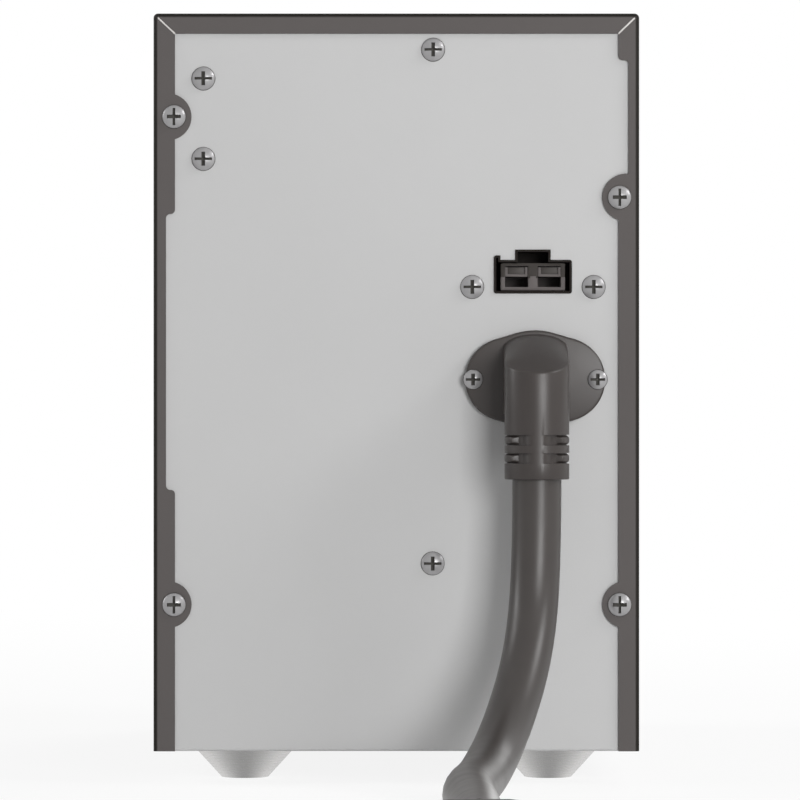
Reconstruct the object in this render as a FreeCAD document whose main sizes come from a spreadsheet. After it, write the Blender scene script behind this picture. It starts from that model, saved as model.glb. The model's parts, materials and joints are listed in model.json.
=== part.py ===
# Battery module for a tower uninterruptible power supply
#
# A folded chassis and an inverted U cover of sheet steel hold sixteen sealed blocks in three layers.
# The rear panel carries a two-pole socket and a right-angle lead outlet with its cable and plug.
# Millimetres. The rear panel faces -Y, the front bezel +Y, and the four feet stand on Z = 0.

import FreeCAD, Part
import math
import os
import re

import Sketcher

V = FreeCAD.Vector

SIZES = {
    # Case: outside sizes without the feet, and the folded sheet
    "case_width": 214.0,
    "case_height": 325.0,
    "case_depth": 372.0,
    "sheet_thick": 1.2,
    "bend_radius": 2.0,
    "slide_gap": 0.3,
    "over_cut": 1.0,
    "lip_height": 20.0,
    "return_depth": 12.0,
    # Rear flanges of the cover, with the widened ears round its screws
    "top_flange": 9.0,
    "left_flange": 9.5,
    "left_flange_narrow": 5.55,
    "left_step_low": 115.1,
    "left_step_drop": 88.4,
    "right_flange": 9.2,
    "right_flange_narrow": 4.75,
    "right_step_drop": 20.7,
    "flange_corner": 1.9,
    "mitre_gap": 0.8,
    "left_ear_inset": 6.5,
    "left_ear_radius": 10.3,
    "right_ear_inset": 5.8,
    "right_ear_radius": 10.5,
    # Vent slots in the cover's sides, over the wiring bay
    "vent_width": 3.0,
    "vent_height": 30.0,
    "vent_pitch": 8.0,
    "vent_setback": 14.0,
    "vent_low": 24.0,
    "vent_drop": 57.0,
    # Screws: heights are above the case's underside, drops below its top, insets from its side
    "head_radius": 5.3,
    "head_height": 2.6,
    "head_rim": 0.8,
    "head_crown": 3.4,
    "shank_radius": 2.4,
    "shank_length": 9.0,
    "recess_span": 6.6,
    "recess_width": 1.3,
    "recess_depth": 1.3,
    "small_head_radius": 4.45,
    "small_head_height": 2.3,
    "small_head_crown": 2.9,
    "small_shank_radius": 1.95,
    "small_recess_span": 5.6,
    "hole_gap": 0.1,
    "left_screw_inset": 9.14,
    "right_screw_inset": 8.72,
    "left_screw_drop": 45.6,
    "right_screw_drop": 81.1,
    "side_screw_low": 64.6,
    "top_screw_x": 16.2,
    "top_screw_drop": 16.0,
    "low_screw_x": 16.0,
    "low_screw_height": 82.7,
    "board_screw_inset": 22.0,
    "board_screw_drop": 28.7,
    "board_screw_pitch": 35.4,
    # Feet
    "foot_height": 14.4,
    "foot_top_radius": 23.6,
    "foot_bottom_radius": 10.4,
    "foot_side_inset": 39.0,
    "foot_inset": 45.0,
    "foot_counterbore": 6.0,
    "foot_counterbore_depth": 7.0,
    "foot_head_radius": 4.8,
    "foot_head_height": 3.0,
    "foot_shank_radius": 2.5,
    # Front bezel and the plate behind it
    "plate_return": 8.0,
    "bezel_depth": 38.0,
    "bezel_bow": 12.0,
    "bezel_wall": 2.6,
    "bezel_corner": 6.0,
    "bezel_edge": 4.0,
    "louvre_width": 150.0,
    "louvre_height": 3.5,
    "louvre_pitch": 11.0,
    "louvre_start": 34.0,
    "louvre_band": 146.0,
    "bezel_groove_height": 212.0,
    "bezel_groove_width": 2.0,
    "bezel_groove_depth": 1.2,
    "post_radius": 4.0,
    "post_lip": 0.6,
    "post_lip_length": 2.5,
    "post_side_inset": 21.0,
    "post_inset": 26.0,
    "grille_width": 60.0,
    "grille_height": 5.0,
    "grille_pitch": 14.0,
    "grille_start": 40.0,
    "grille_band": 215.0,
    "front_screw_radius": 4.0,
    "front_screw_head": 2.2,
    "front_screw_shank": 1.95,
    "front_screw_length": 6.0,
    "front_screw_inset": 30.0,
    # Socket: its centre from the case's right side and underside, and the panel cut-out with tab and notch
    "socket_side_inset": 46.85,
    "socket_height": 209.0,
    "cutout_width": 34.4,
    "cutout_height": 14.8,
    "cutout_corner": 1.1,
    "tab_width": 15.6,
    "tab_height": 4.55,
    "notch_width": 2.9,
    "notch_height": 2.0,
    "shroud_wall": 1.0,
    "shroud_proud": 0.6,
    "shroud_depth": 18.0,
    "shroud_back": 2.0,
    "shroud_flange_width": 66.0,
    "shroud_flange_height": 30.0,
    "shroud_flange_thick": 3.0,
    "socket_screw_spread": 26.75,
    "socket_screw_drop": 4.5,
    "housing_width": 28.4,
    "housing_height": 12.05,
    "housing_recess": 1.2,
    "housing_length": 30.0,
    "pole_spread": 7.3,
    "pole_width": 10.0,
    "pole_height": 8.8,
    "pole_depth": 22.0,
    "contact_height": 4.3,
    "contact_setback": 0.8,
    "contact_inset": 2.0,
    "contact_inset_width": 6.6,
    "contact_inset_height": 2.2,
    # Elbow: right-angle outlet moulded with its flange
    "elbow_side_inset": 45.9,
    "elbow_height": 163.7,
    "elbow_flange_thick": 4.0,
    "flange_end_radius": 18.5,
    "flange_end_spread": 12.3,
    "flange_side_radius": 28.6,
    "flange_half_height": 21.7,
    "flange_edge": 1.5,
    "elbow_screw_spread": 27.4,
    "barrel_radius": 14.1,
    "barrel_offset": 29.0,
    "barrel_drop": 43.5,
    "hood_rise": 20.2,
    "hood_shoulder": 15.4,
    "hood_slope": 21.9,
    "hood_corner": 4.0,
    "leg_drop": 15.0,
    "groove_height": 4.6,
    "groove_depth": 2.6,
    "groove_upper": 28.7,
    "groove_lower": 36.6,
    "groove_start": 15.0,
    "groove_sweep": 150.0,
    "rib_start": 49.0,
    "rib_sweep": 82.0,
    "rib_height": 3.2,
    "spigot_radius": 11.5,
    "spigot_gap": 0.3,
    "spigot_length": 6.0,
    # Cable and plug
    "cable_diameter": 21.4,
    "grip_length": 48.0,
    "grip_width": 42.0,
    "grip_neck": 25.0,
    "grip_taper": 14.0,
    "grip_edge": 2.5,
    "nose_length": 14.0,
    "cheek_thick": 1.6,
    "mating_gap": 0.2,
    "latch_width": 12.0,
    "blade_width": 9.4,
    "blade_height": 3.8,
    # Battery stack: the wiring bay behind it, the room round it, and the blocks' lids and terminals
    "bay_depth": 57.2,
    "side_pad_thick": 5.6,
    "rack_top_gap": 1.7,
    "block_corner": 2.0,
    "lid_height": 9.0,
    "lid_inset": 0.5,
    "terminal_height": 6.0,
    "terminal_width": 6.35,
    "terminal_thick": 0.8,
    "terminal_inset": 12.0,
    "terminal_setback": 10.0,
    "head_room": 1.6,
    "insulator_thick": 1.0,
    "front_pad_thick": 8.0,
    "front_pad_width": 150.0,
    "side_pad_height": 60.0,
    "side_pad_rise": 12.0,
    "side_pad_inset": 20.0,
    "link_thick": 1.0,
    "link_height": 5.0,
    # Rack, shelves and brackets
    "rack_flange": 8.0,
    "rack_head_room": 1.8,
    "shelf_flange": 12.0,
    "brace_width": 30.0,
    "brace_height": 9.0,
    "brace_tab": 24.0,
    "strap_width": 24.0,
    "strap_low": 26.0,
    "strap_high": 186.0,
    "strap_tab": 24.0,
    "stop_height": 30.0,
    "stop_foot": 14.0,
    "bracket_tab": 20.0,
    "bracket_reach": 76.0,
    "bracket_margin": 8.0,
    "standoff_radius": 2.5,
    "standoff_length": 4.0,
    "board_thick": 1.6,
    "board_inset": 4.0,
    "fuse_radius": 5.0,
    "fuse_length": 38.0,
    "fuse_pitch": 20.0,
    "clip_width": 4.0,
    "clip_depth": 12.0,
    "terminal_block_length": 12.0,
    "lead_radius": 2.6,
    "lead_bend": 14.0,
    "lead_pitch": 7.0,
}

doc = FreeCAD.newDocument("battery_module")
sheet = doc.addObject("Spreadsheet::Sheet", "Sizes")
for row, (alias, number) in enumerate(SIZES.items(), start=1):
    sheet.set(f"A{row}", alias)
    sheet.set(f"B{row}", str(number))
    sheet.setAlias(f"B{row}", alias)
doc.recompute()

NODES = {}

# Planes and levels that the pieces share
HALF = "(case_width / 2)"
FLOOR = "foot_height"
ROOF = "(foot_height + case_height)"
BACK = "(-(case_depth + bezel_depth + sheet_thick - elbow_flange_thick - small_head_height) / 2)"
PANEL = f"({BACK} + sheet_thick)"
BAY = f"({PANEL} + sheet_thick)"
JOINT = f"({BACK} + case_depth)"
PLATE = f"({JOINT} - sheet_thick)"
NOSE = f"({JOINT} + bezel_depth)"
DECK = "(foot_height + sheet_thick)"
WALL = "(case_width / 2 - sheet_thick - slide_gap)"
LID = "(foot_height + case_height - sheet_thick - slide_gap)"

BRACE_Z = f"({LID} - sheet_thick)"
THROUGH = "(sheet_thick + 2 * over_cut)"

# Battery stack: its front and rear faces, the rack's inner face and top, and the first layer's seat
STACK_FRONT = f"({PLATE} - sheet_thick - front_pad_thick)"
STACK_REAR = f"({BAY} + bay_depth)"
RACK_OUT = f"({WALL} - sheet_thick)"
RACK_IN = f"({WALL} - 2 * sheet_thick)"
RACK_TOP = f"({BRACE_Z} - brace_height - rack_top_gap)"
SEAT = f"({DECK} + insulator_thick)"

# The blocks share the room in the rack: three across, two along and three layers high
LAYER_GAP = "(terminal_height + head_room + sheet_thick + insulator_thick)"
TOP_ROOM = "(terminal_height + rack_head_room)"
BLOCK_WIDTH = f"(2 * ({RACK_IN} - side_pad_thick) / 3)"
BLOCK_LENGTH = f"(({STACK_FRONT} - {STACK_REAR}) / 2)"
BLOCK_HEIGHT = f"(({RACK_TOP} - {SEAT} - 2 * {LAYER_GAP} - {TOP_ROOM}) / 3)"
LAYER_PITCH = f"({BLOCK_HEIGHT} + {LAYER_GAP})"

# Rear fittings
SOCKET_X = f"({HALF} - socket_side_inset)"
ELBOW_X = f"({HALF} - elbow_side_inset)"
SOCKET_Z = "(foot_height + socket_height)"
ELBOW_Z = "(foot_height + elbow_height)"
BARREL_Y = f"({PANEL} - barrel_offset)"
BARREL_Z = f"({ELBOW_Z} - barrel_drop)"
SPIGOT_END = f"({BAY} + spigot_length)"


def formula(text):
    """The text as a sheet expression: every alias gets the sheet's name in front."""
    return re.sub(r"[a-z]+(?:_[a-z0-9]+)+", lambda found: "Sizes." + found.group(), str(text))


def size(text):
    """The value of an expression in the sheet's sizes."""
    return float(sheet.evalExpression(formula(text)))


def bind(item, **properties):
    for name, text in properties.items():
        item.setExpression(name.replace("__", "."), formula(text))
    return item


def place(item, x, y, z):
    return bind(item, Placement__Base__x=x, Placement__Base__y=y, Placement__Base__z=z)


def node(label, item):
    """Name a finished sub-part, which names its file too."""
    item.Label = label
    NODES[label] = item
    return item


# Solids and booleans
TURNS = {
    "X": FreeCAD.Rotation(V(0, 1, 0), 90),
    "Y": FreeCAD.Rotation(V(1, 0, 0), -90),
    "Z": FreeCAD.Rotation(),
}


def box(name, x, y, z, along_x, along_y, along_z):
    item = bind(doc.addObject("Part::Box", name), Length=along_x, Width=along_y, Height=along_z)
    return place(item, x, y, z)


def rod(name, axis, x, y, z, radius, length):
    """A cylinder that runs from its point towards plus along the axis."""
    item = doc.addObject("Part::Cylinder", name)
    item.Placement = FreeCAD.Placement(V(), TURNS[axis])
    bind(item, Radius=radius, Height=length)
    return place(item, x, y, z)


def join(name, *parts):
    item = doc.addObject("Part::MultiFuse", name)
    item.Shapes = list(parts)
    return item


def overlap(name, *parts):
    item = doc.addObject("Part::MultiCommon", name)
    item.Shapes = list(parts)
    return item


def cut(name, base, *tools):
    item = doc.addObject("Part::Cut", name)
    item.Base = base
    item.Tool = tools[0] if len(tools) == 1 else join(name + "_tools", *tools)
    return item


def group(name, parts):
    item = doc.addObject("Part::Compound", name)
    item.Links = list(parts)
    return item


# Sketched bodies
NEAR = 1e-3  # levels closer than this, in mm, are one level


def new_body(name):
    return doc.addObject("PartDesign::Body", name)


def new_sketch(body, plane, level):
    drawing = body.newObject("Sketcher::SketchObject", body.Name + "_sketch")
    support = next(part for part in body.Origin.OriginFeatures if part.Role == plane + "_Plane")
    drawing.AttachmentSupport = [(support, "")]
    drawing.MapMode = "FlatFace"
    side = "-" if plane == "XZ" else ""
    return bind(drawing, AttachmentOffset__Base__z=f"{side}({level})")


def dimension(drawing, kind, *picks, text):
    """Add a constraint whose value follows the sheet."""
    index = drawing.addConstraint(Sketcher.Constraint(kind, *picks, size(text)))
    drawing.setExpression(f"Constraints[{index}]", formula(text))


def pin(drawing, edge, end, x, y):
    dimension(drawing, "DistanceX", -1, 1, edge, end, text=x)
    dimension(drawing, "DistanceY", -1, 1, edge, end, text=y)


def outline(drawing, corners, bulges=None):
    """A closed loop of lines; bulges maps a side's number to (radius, rise) for a bowed side."""
    bulges = bulges or {}
    first = drawing.GeometryCount
    spots = [V(size(x), size(y), 0) for x, y in corners]
    count = len(spots)
    for side in range(count):
        start, end = spots[side], spots[(side + 1) % count]
        if side in bulges:
            across = (end - start).cross(V(0, 0, 1)).normalize()
            crown = (start + end) * 0.5 + across * size(bulges[side][1])
            drawing.addGeometry(Part.Arc(start, crown, end), False)
        else:
            drawing.addGeometry(Part.LineSegment(start, end), False)
    ends = {}
    for side in range(count):
        forward = side not in bulges or drawing.Geometry[first + side].StartPoint.isEqual(spots[side], NEAR)
        ends[side] = (1, 2) if forward else (2, 1)
    for side in range(count):
        following = (side + 1) % count
        joint = (first + side, ends[side][1], first + following, ends[following][0])
        drawing.addConstraint(Sketcher.Constraint("Coincident", *joint))
        pin(drawing, first + side, ends[side][0], *corners[side])
    for side, (radius, rise) in bulges.items():
        dimension(drawing, "Radius", first + side, text=radius)


def ring(drawing, x, y, radius):
    edge = drawing.addGeometry(Part.Circle(V(size(x), size(y), 0), V(0, 0, 1), size(radius)), False)
    pin(drawing, edge, 3, x, y)
    dimension(drawing, "Radius", edge, text=radius)


def extrude(kind, body, plane, level, length, loops=(), rings=(), bulges=None):
    drawing = new_sketch(body, plane, level)
    for corners in loops:
        outline(drawing, corners, bulges)
    for circle in rings:
        ring(drawing, *circle)
    feature = body.newObject("PartDesign::" + kind, f"{body.Name}_{kind.lower()}")
    feature.Profile = drawing
    feature.Reversed = (kind == "Pad") == (plane == "XZ")
    bind(feature, Length=length)
    doc.recompute()
    return feature


def pad(body, plane, level, length, **profile):
    """Add the profile from its level towards plus along the plane's axis."""
    return extrude("Pad", body, plane, level, length, **profile)


def pocket(body, plane, level, length, **profile):
    """Remove the profile from its level towards plus along the plane's axis."""
    before = body.Shape.Volume
    feature = extrude("Pocket", body, plane, level, length, **profile)
    assert body.Shape.Volume < before - NEAR, f"{body.Name}: the pocket cuts nothing"
    return feature


def rectangle(x_low, y_low, x_high, y_high):
    return [(x_low, y_low), (x_high, y_low), (x_high, y_high), (x_low, y_high)]


def straight_edges(shape, axis, **levels):
    """Names of the edges along an axis whose other coordinates are at the given levels."""
    names = []
    for index, edge in enumerate(shape.Edges, start=1):
        reach = {key: getattr(edge.BoundBox, key + "Length") for key in "XYZ"}
        if reach.pop(axis) < NEAR or max(reach.values()) > NEAR:
            continue
        middle = edge.CenterOfMass
        if all(any(abs(getattr(middle, key) - size(level)) < NEAR for level in wanted)
               for key, wanted in levels.items()):
            names.append(f"Edge{index}")
    return names


def dress_edges(kind, body, names, **reach):
    assert names, f"{body.Name}: no edges to dress"
    base = body.Tip
    feature = body.newObject("PartDesign::" + kind, f"{body.Name}_{kind.lower()}")
    feature.Base = (base, names)
    bind(feature, **reach)
    doc.recompute()


def round_edges(body, names, radius):
    dress_edges("Fillet", body, names, Radius=radius)


def bevel_edges(body, names, reach):
    dress_edges("Chamfer", body, names, Size=reach)


def repeat_upwards(body, feature, band, pitch):
    """Copies of a pocket, one above the other, at a pitch over a band's height."""
    rows = body.newObject("PartDesign::LinearPattern", body.Name + "_rows")
    rows.Originals = [feature]
    upright = next(part for part in body.Origin.OriginFeatures if part.Role == "Z_Axis")
    rows.Direction = (upright, [""])
    steps = f"floor({band} / {pitch})"
    bind(rows, Length=f"{steps} * {pitch}", Occurrences=f"{steps} + 1")
    body.Tip = rows
    doc.recompute()


def mirrored_pair(label, side_shape):
    """Left and right pieces of one shape, made by a function of the side's sign."""
    return node(f"{label}_left", side_shape(-1)), node(f"{label}_right", side_shape(1))


# Cover

def make_cover():
    body = new_body("cover_shell")
    pad(body, "XZ", BACK, "case_depth", loops=[rectangle(f"-{HALF}", FLOOR, HALF, ROOF)])
    sides = [f"-{HALF}", HALF]
    outer = straight_edges(body.Shape, "Y", x=sides, z=[ROOF])
    outer += straight_edges(body.Shape, "X", y=[BACK], z=[ROOF])
    outer += straight_edges(body.Shape, "Z", x=sides, y=[BACK])
    round_edges(body, outer, "bend_radius")
    inside = rectangle(f"sheet_thick - {HALF}", f"{FLOOR} - over_cut", f"{HALF} - sheet_thick",
                       f"{ROOF} - sheet_thick")
    pocket(body, "XZ", PANEL, "case_depth", loops=[inside])

    # Vent slots run through both sides at once
    slots = []
    for base in (f"{FLOOR} + vent_low", f"{ROOF} - vent_drop"):
        for column in range(5):
            start = f"{BAY} + vent_setback + {column} * vent_pitch"
            slots.append(rectangle(start, base, f"{start} + vent_width", f"{base} + vent_height"))
    pocket(body, "YZ", f"-{HALF} - over_cut", "case_width + 2 * over_cut", loops=slots)

    # The window leaves the flanges, and the ears are taken out of the window's cutter
    left, right = f"left_flange - {HALF}", f"{HALF} - right_flange"
    left_narrow, right_narrow = f"left_flange_narrow - {HALF}", f"{HALF} - right_flange_narrow"
    top = f"{ROOF} - top_flange"
    below = f"{FLOOR} - over_cut"
    corners = [
        (left, below), (right, below),
        (right, f"{ROOF} - right_screw_drop"), (right_narrow, f"{ROOF} - right_screw_drop"),
        (right_narrow, f"{ROOF} - right_step_drop"), (right, f"{ROOF} - right_step_drop"),
        (right, top), (left, top),
        (left, f"{ROOF} - left_step_drop"), (left_narrow, f"{ROOF} - left_step_drop"),
        (left_narrow, f"{FLOOR} + left_step_low"), (left, f"{FLOOR} + left_step_low"),
    ]
    window = new_body("cover_window")
    pad(window, "XZ", f"{BACK} - over_cut", "sheet_thick + over_cut", loops=[corners])
    steps = [f"{ROOF} - right_step_drop", f"{ROOF} - left_step_drop", f"{FLOOR} + left_step_low"]
    names = straight_edges(window.Shape, "Y", z=steps)
    round_edges(window, names, "flange_corner")
    ears = []
    low_ear = f"{FLOOR} + side_screw_low"
    for x, radius, heights in (
            (f"left_ear_inset - {HALF}", "left_ear_radius", (f"{ROOF} - left_screw_drop", low_ear)),
            (f"{HALF} - right_ear_inset", "right_ear_radius", (f"{ROOF} - right_screw_drop", low_ear))):
        for height in heights:
            ears.append(rod("cover_ear", "Y", x, f"{BACK} - 2 * over_cut", height, radius,
                            "sheet_thick + 3 * over_cut"))
    cutter = cut("cover_cutter", window, *ears)

    # Mitred corners between the top flange and the side flanges: slots that lie at 45 degrees
    slots = []
    for side, flange in ((-1, "left_flange"), (1, "right_flange")):
        slot = new_body("cover_mitre")
        inner, outer = f"{side} * ({HALF} - {flange})", f"{side} * ({HALF} - bend_radius)"
        low, high = f"{ROOF} - top_flange", f"{ROOF} - bend_radius"
        half_gap = "mitre_gap / sqrt(2)"
        pad(slot, "XZ", f"{BACK} - over_cut", "sheet_thick + over_cut", loops=[[
            (f"{inner} - {side} * over_cut", f"{low} - over_cut"),
            (f"{inner} + {side} * {half_gap}", low),
            (f"{outer} + {side} * {half_gap} / 2", f"{high} - {half_gap} / 2"),
            (f"{outer} - {side} * {half_gap} / 2", f"{high} + {half_gap} / 2"),
            (inner, f"{low} + {half_gap}")]])
        slots.append(slot)
    holes = [rod("cover_hole", "Y", x, f"{BACK} - over_cut", z, "shank_radius + hole_gap", THROUGH)
             for x, y, z in COVER_SCREWS]
    return cut("cover_cut", body, cutter, *slots, *holes)


COVER_SCREWS = [
    (f"left_screw_inset - {HALF}", BACK, f"{ROOF} - left_screw_drop"),
    (f"{HALF} - right_screw_inset", BACK, f"{ROOF} - right_screw_drop"),
    (f"left_screw_inset - {HALF}", BACK, f"{FLOOR} + side_screw_low"),
    (f"{HALF} - right_screw_inset", BACK, f"{FLOOR} + side_screw_low"),
]
PANEL_SCREWS = [
    ("top_screw_x", PANEL, f"{ROOF} - top_screw_drop"),
    ("low_screw_x", PANEL, f"{FLOOR} + low_screw_height"),
]
BOARD_SCREWS = [
    (f"board_screw_inset - {HALF}", PANEL, f"{ROOF} - board_screw_drop"),
    (f"board_screw_inset - {HALF}", PANEL, f"{ROOF} - board_screw_drop - board_screw_pitch"),
]
SOCKET_SCREWS = [
    (f"{SOCKET_X} + {side} * socket_screw_spread", PANEL, f"{SOCKET_Z} - socket_screw_drop")
    for side in (-1, 1)
]
ELBOW_SCREWS = [
    (f"{ELBOW_X} + {side} * elbow_screw_spread", f"{PANEL} - elbow_flange_thick", ELBOW_Z)
    for side in (-1, 1)
]
FOOT_SPOTS = {
    "rear_left": (f"foot_side_inset - {HALF}", f"{BACK} + foot_inset"),
    "rear_right": (f"{HALF} - foot_side_inset", f"{BACK} + foot_inset"),
    "front_left": (f"foot_side_inset - {HALF}", f"{JOINT} - foot_inset"),
    "front_right": (f"{HALF} - foot_side_inset", f"{JOINT} - foot_inset"),
}


CUTOUT_SIDES = [f"{SOCKET_X} - cutout_width / 2", f"{SOCKET_X} + cutout_width / 2"]


def socket_outline(inset="0"):
    """The cut-out with its tab and notch, drawn in by an inset."""
    left, right = f"({SOCKET_X} - cutout_width / 2)", f"({SOCKET_X} + cutout_width / 2)"
    low, high = f"({SOCKET_Z} - cutout_height / 2)", f"({SOCKET_Z} + cutout_height / 2)"
    tab_left, tab_right = f"({SOCKET_X} - tab_width / 2)", f"({SOCKET_X} + tab_width / 2)"
    return [
        (f"{left} + {inset}", f"{low} + {inset}"), (f"{right} - {inset}", f"{low} + {inset}"),
        (f"{right} - {inset}", f"{high} - {inset}"), (f"{tab_right} - {inset}", f"{high} - {inset}"),
        (f"{tab_right} - {inset}", f"{high} + tab_height - {inset}"),
        (f"{tab_left} + {inset}", f"{high} + tab_height - {inset}"),
        (f"{tab_left} + {inset}", f"{high} - {inset}"),
        (f"{left} + notch_width - {inset}", f"{high} - {inset}"),
        (f"{left} + notch_width - {inset}", f"{high} + notch_height - {inset}"),
        (f"{left} + {inset}", f"{high} + notch_height - {inset}"),
    ]


# Chassis: floor, side lips, rear panel and its returns are one folded sheet

def make_chassis():
    body = new_body("chassis_sheet")
    pad(body, "XZ", PANEL, f"{PLATE} - {PANEL}", loops=[rectangle(f"-{WALL}", FLOOR, WALL, LID)])
    sides = [f"-{WALL}", WALL]
    bends = straight_edges(body.Shape, "Y", x=sides, z=[FLOOR])
    bends += straight_edges(body.Shape, "X", y=[PANEL], z=[FLOOR, LID])
    bends += straight_edges(body.Shape, "Z", x=sides, y=[PANEL])
    round_edges(body, bends, "sheet_thick")
    inside = rectangle(f"sheet_thick - {WALL}", DECK, f"{WALL} - sheet_thick", f"{LID} - sheet_thick")
    pocket(body, "XZ", BAY, "case_depth", loops=[inside])
    above = rectangle(f"{BAY} + return_depth", f"{FLOOR} + lip_height", f"{PLATE} + over_cut",
                      f"{LID} + over_cut")
    pocket(body, "YZ", f"-{HALF}", "case_width", loops=[above])

    # Panel openings: socket cut-out, lead outlet and screw holes
    rings = [(ELBOW_X, ELBOW_Z, "spigot_radius + spigot_gap")]
    for x, y, z in COVER_SCREWS + PANEL_SCREWS + BOARD_SCREWS + SOCKET_SCREWS:
        rings.append((x, z, "shank_radius + hole_gap"))
    for x, y, z in ELBOW_SCREWS:
        rings.append((x, z, "small_shank_radius + hole_gap"))
    pocket(body, "XZ", f"{PANEL} - over_cut", THROUGH, loops=[socket_outline()], rings=rings)
    round_edges(body, straight_edges(body.Shape, "Y", x=CUTOUT_SIDES), "cutout_corner")
    feet = [(x, y, "foot_shank_radius + hole_gap") for x, y in FOOT_SPOTS.values()]
    pocket(body, "XY", f"{FLOOR} - over_cut", THROUGH, rings=feet)
    return body


def make_front_plate():
    body = new_body("front_plate_sheet")
    pad(body, "XZ", PLATE, "sheet_thick", loops=[rectangle(f"-{WALL}", FLOOR, WALL, LID)])
    inner = f"({WALL} - 2 * sheet_thick - rack_flange)"
    for level in (DECK, f"{LID} - sheet_thick"):
        fold = rectangle(f"-{inner}", f"{PLATE} - plate_return", inner, f"{PLATE} + sheet_thick / 2")
        pad(body, "XY", level, "sheet_thick", loops=[fold])
    rings = [(x, z, "post_radius + slide_gap") for x, z in POSTS]
    rings += [(x, z, "front_screw_shank + hole_gap") for x, z in FRONT_SCREWS]
    pocket(body, "XZ", f"{PLATE} - over_cut", THROUGH, rings=rings)
    slots = [centred(f"{side} * (grille_width / 2 + grille_height)", f"{FLOOR} + grille_start",
                     "grille_width", "grille_height") for side in (-1, 1)]
    first = pocket(body, "XZ", f"{PLATE} - over_cut", THROUGH, loops=slots)
    repeat_upwards(body, first, "grille_band", "grille_pitch")
    return body


POST_X = f"({HALF} - post_side_inset)"
POSTS = [(f"{side} * {POST_X}", f"{FLOOR} + {height}")
         for side in (-1, 1)
         for height in ("post_inset", "case_height / 2", "case_height - post_inset")]
FRONT_SCREW_RISE = "(front_screw_inset + lip_height)"
FRONT_SCREWS = [(f"{side} * ({RACK_IN} - rack_flange / 2)", z)
                for side in (-1, 1)
                for z in (f"{FLOOR} + {FRONT_SCREW_RISE}", f"{ROOF} - {FRONT_SCREW_RISE}")]
FRONT_SCREWS.append(("top_screw_x", f"{ROOF} - top_screw_drop"))


def make_bezel():
    """A bowed moulded front with a louvred lower field and six snap posts."""
    bow_radius = f"(({HALF} * {HALF} + bezel_bow * bezel_bow) / (2 * bezel_bow))"
    shoulder = f"({NOSE} - bezel_bow)"
    body = new_body("bezel_shell")
    corners = [(f"-{HALF}", JOINT), (HALF, JOINT), (HALF, shoulder), (f"-{HALF}", shoulder)]
    pad(body, "XY", FLOOR, "case_height", loops=[corners], bulges={2: (bow_radius, "bezel_bow")})
    round_edges(body, straight_edges(body.Shape, "Z", y=[shoulder]), "bezel_corner")
    rims = [f"Edge{index}" for index, edge in enumerate(body.Shape.Edges, start=1)
            if not isinstance(edge.Curve, Part.Line)]
    round_edges(body, rims, "bezel_edge")
    inner_half = f"({HALF} - bezel_wall)"
    inner_shoulder = f"({shoulder} - bezel_wall)"
    inner = [(f"-{inner_half}", f"{JOINT} - over_cut"), (inner_half, f"{JOINT} - over_cut"),
             (inner_half, inner_shoulder), (f"-{inner_half}", inner_shoulder)]
    inner_bow = f"(({inner_half} * {inner_half} + bezel_bow * bezel_bow) / (2 * bezel_bow))"
    pocket(body, "XY", f"{FLOOR} + bezel_wall", "case_height - 2 * bezel_wall", loops=[inner],
           bulges={2: (inner_bow, "bezel_bow")})

    # Louvre slots, one above the other, through the front wall
    slot = rectangle("-louvre_width / 2", f"{FLOOR} + louvre_start", "louvre_width / 2",
                     f"{FLOOR} + louvre_start + louvre_height")
    first = pocket(body, "XZ", f"{JOINT} + bezel_edge", "bezel_depth", loops=[slot])
    repeat_upwards(body, first, "louvre_band", "louvre_pitch")

    # A shallow line parts the louvred field from the plain top
    line_low = f"{FLOOR} + bezel_groove_height"
    groove = rectangle(f"-{HALF} - over_cut", line_low, f"{HALF} + over_cut",
                       f"{line_low} + bezel_groove_width")
    cutter = new_body("bezel_line")
    pad(cutter, "XZ", f"{JOINT} + bezel_edge", "bezel_depth", loops=[groove])
    core = new_body("bezel_line_core")
    core_corners = [(f"bezel_groove_depth - {HALF}", JOINT), (f"{HALF} - bezel_groove_depth", JOINT),
                    (f"{HALF} - bezel_groove_depth", f"{shoulder} - bezel_groove_depth"),
                    (f"bezel_groove_depth - {HALF}", f"{shoulder} - bezel_groove_depth")]
    core_half = f"({HALF} - bezel_groove_depth)"
    core_bow = f"(({core_half} * {core_half} + bezel_bow * bezel_bow) / (2 * bezel_bow))"
    pad(core, "XY", FLOOR, "case_height", loops=[core_corners], bulges={2: (core_bow, "bezel_bow")})
    round_edges(core, straight_edges(core.Shape, "Z", y=[f"{shoulder} - bezel_groove_depth"]),
                "bezel_corner - bezel_groove_depth")
    lined = cut("bezel_lined", body, cut("bezel_line_ring", cutter, core))

    # The posts root in the middle of the bowed front wall
    bow_at_post = f"bezel_bow * (1 - ({POST_X} / {HALF}) ^ 2)"
    post_root = f"({shoulder} + {bow_at_post} - bezel_wall / 2)"
    posts = []
    for x, z in POSTS:
        stem = rod("post_stem", "Y", x, f"{PLATE} - post_lip_length", z, "post_radius",
                   f"{post_root} - {PLATE} + post_lip_length")
        lip = rod("post_barb", "Y", x, f"{PLATE} - post_lip_length", z, "post_radius + post_lip",
                  "post_lip_length")
        posts += [stem, lip]
    return join("bezel_moulding", lined, *posts)


# Screws

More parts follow.
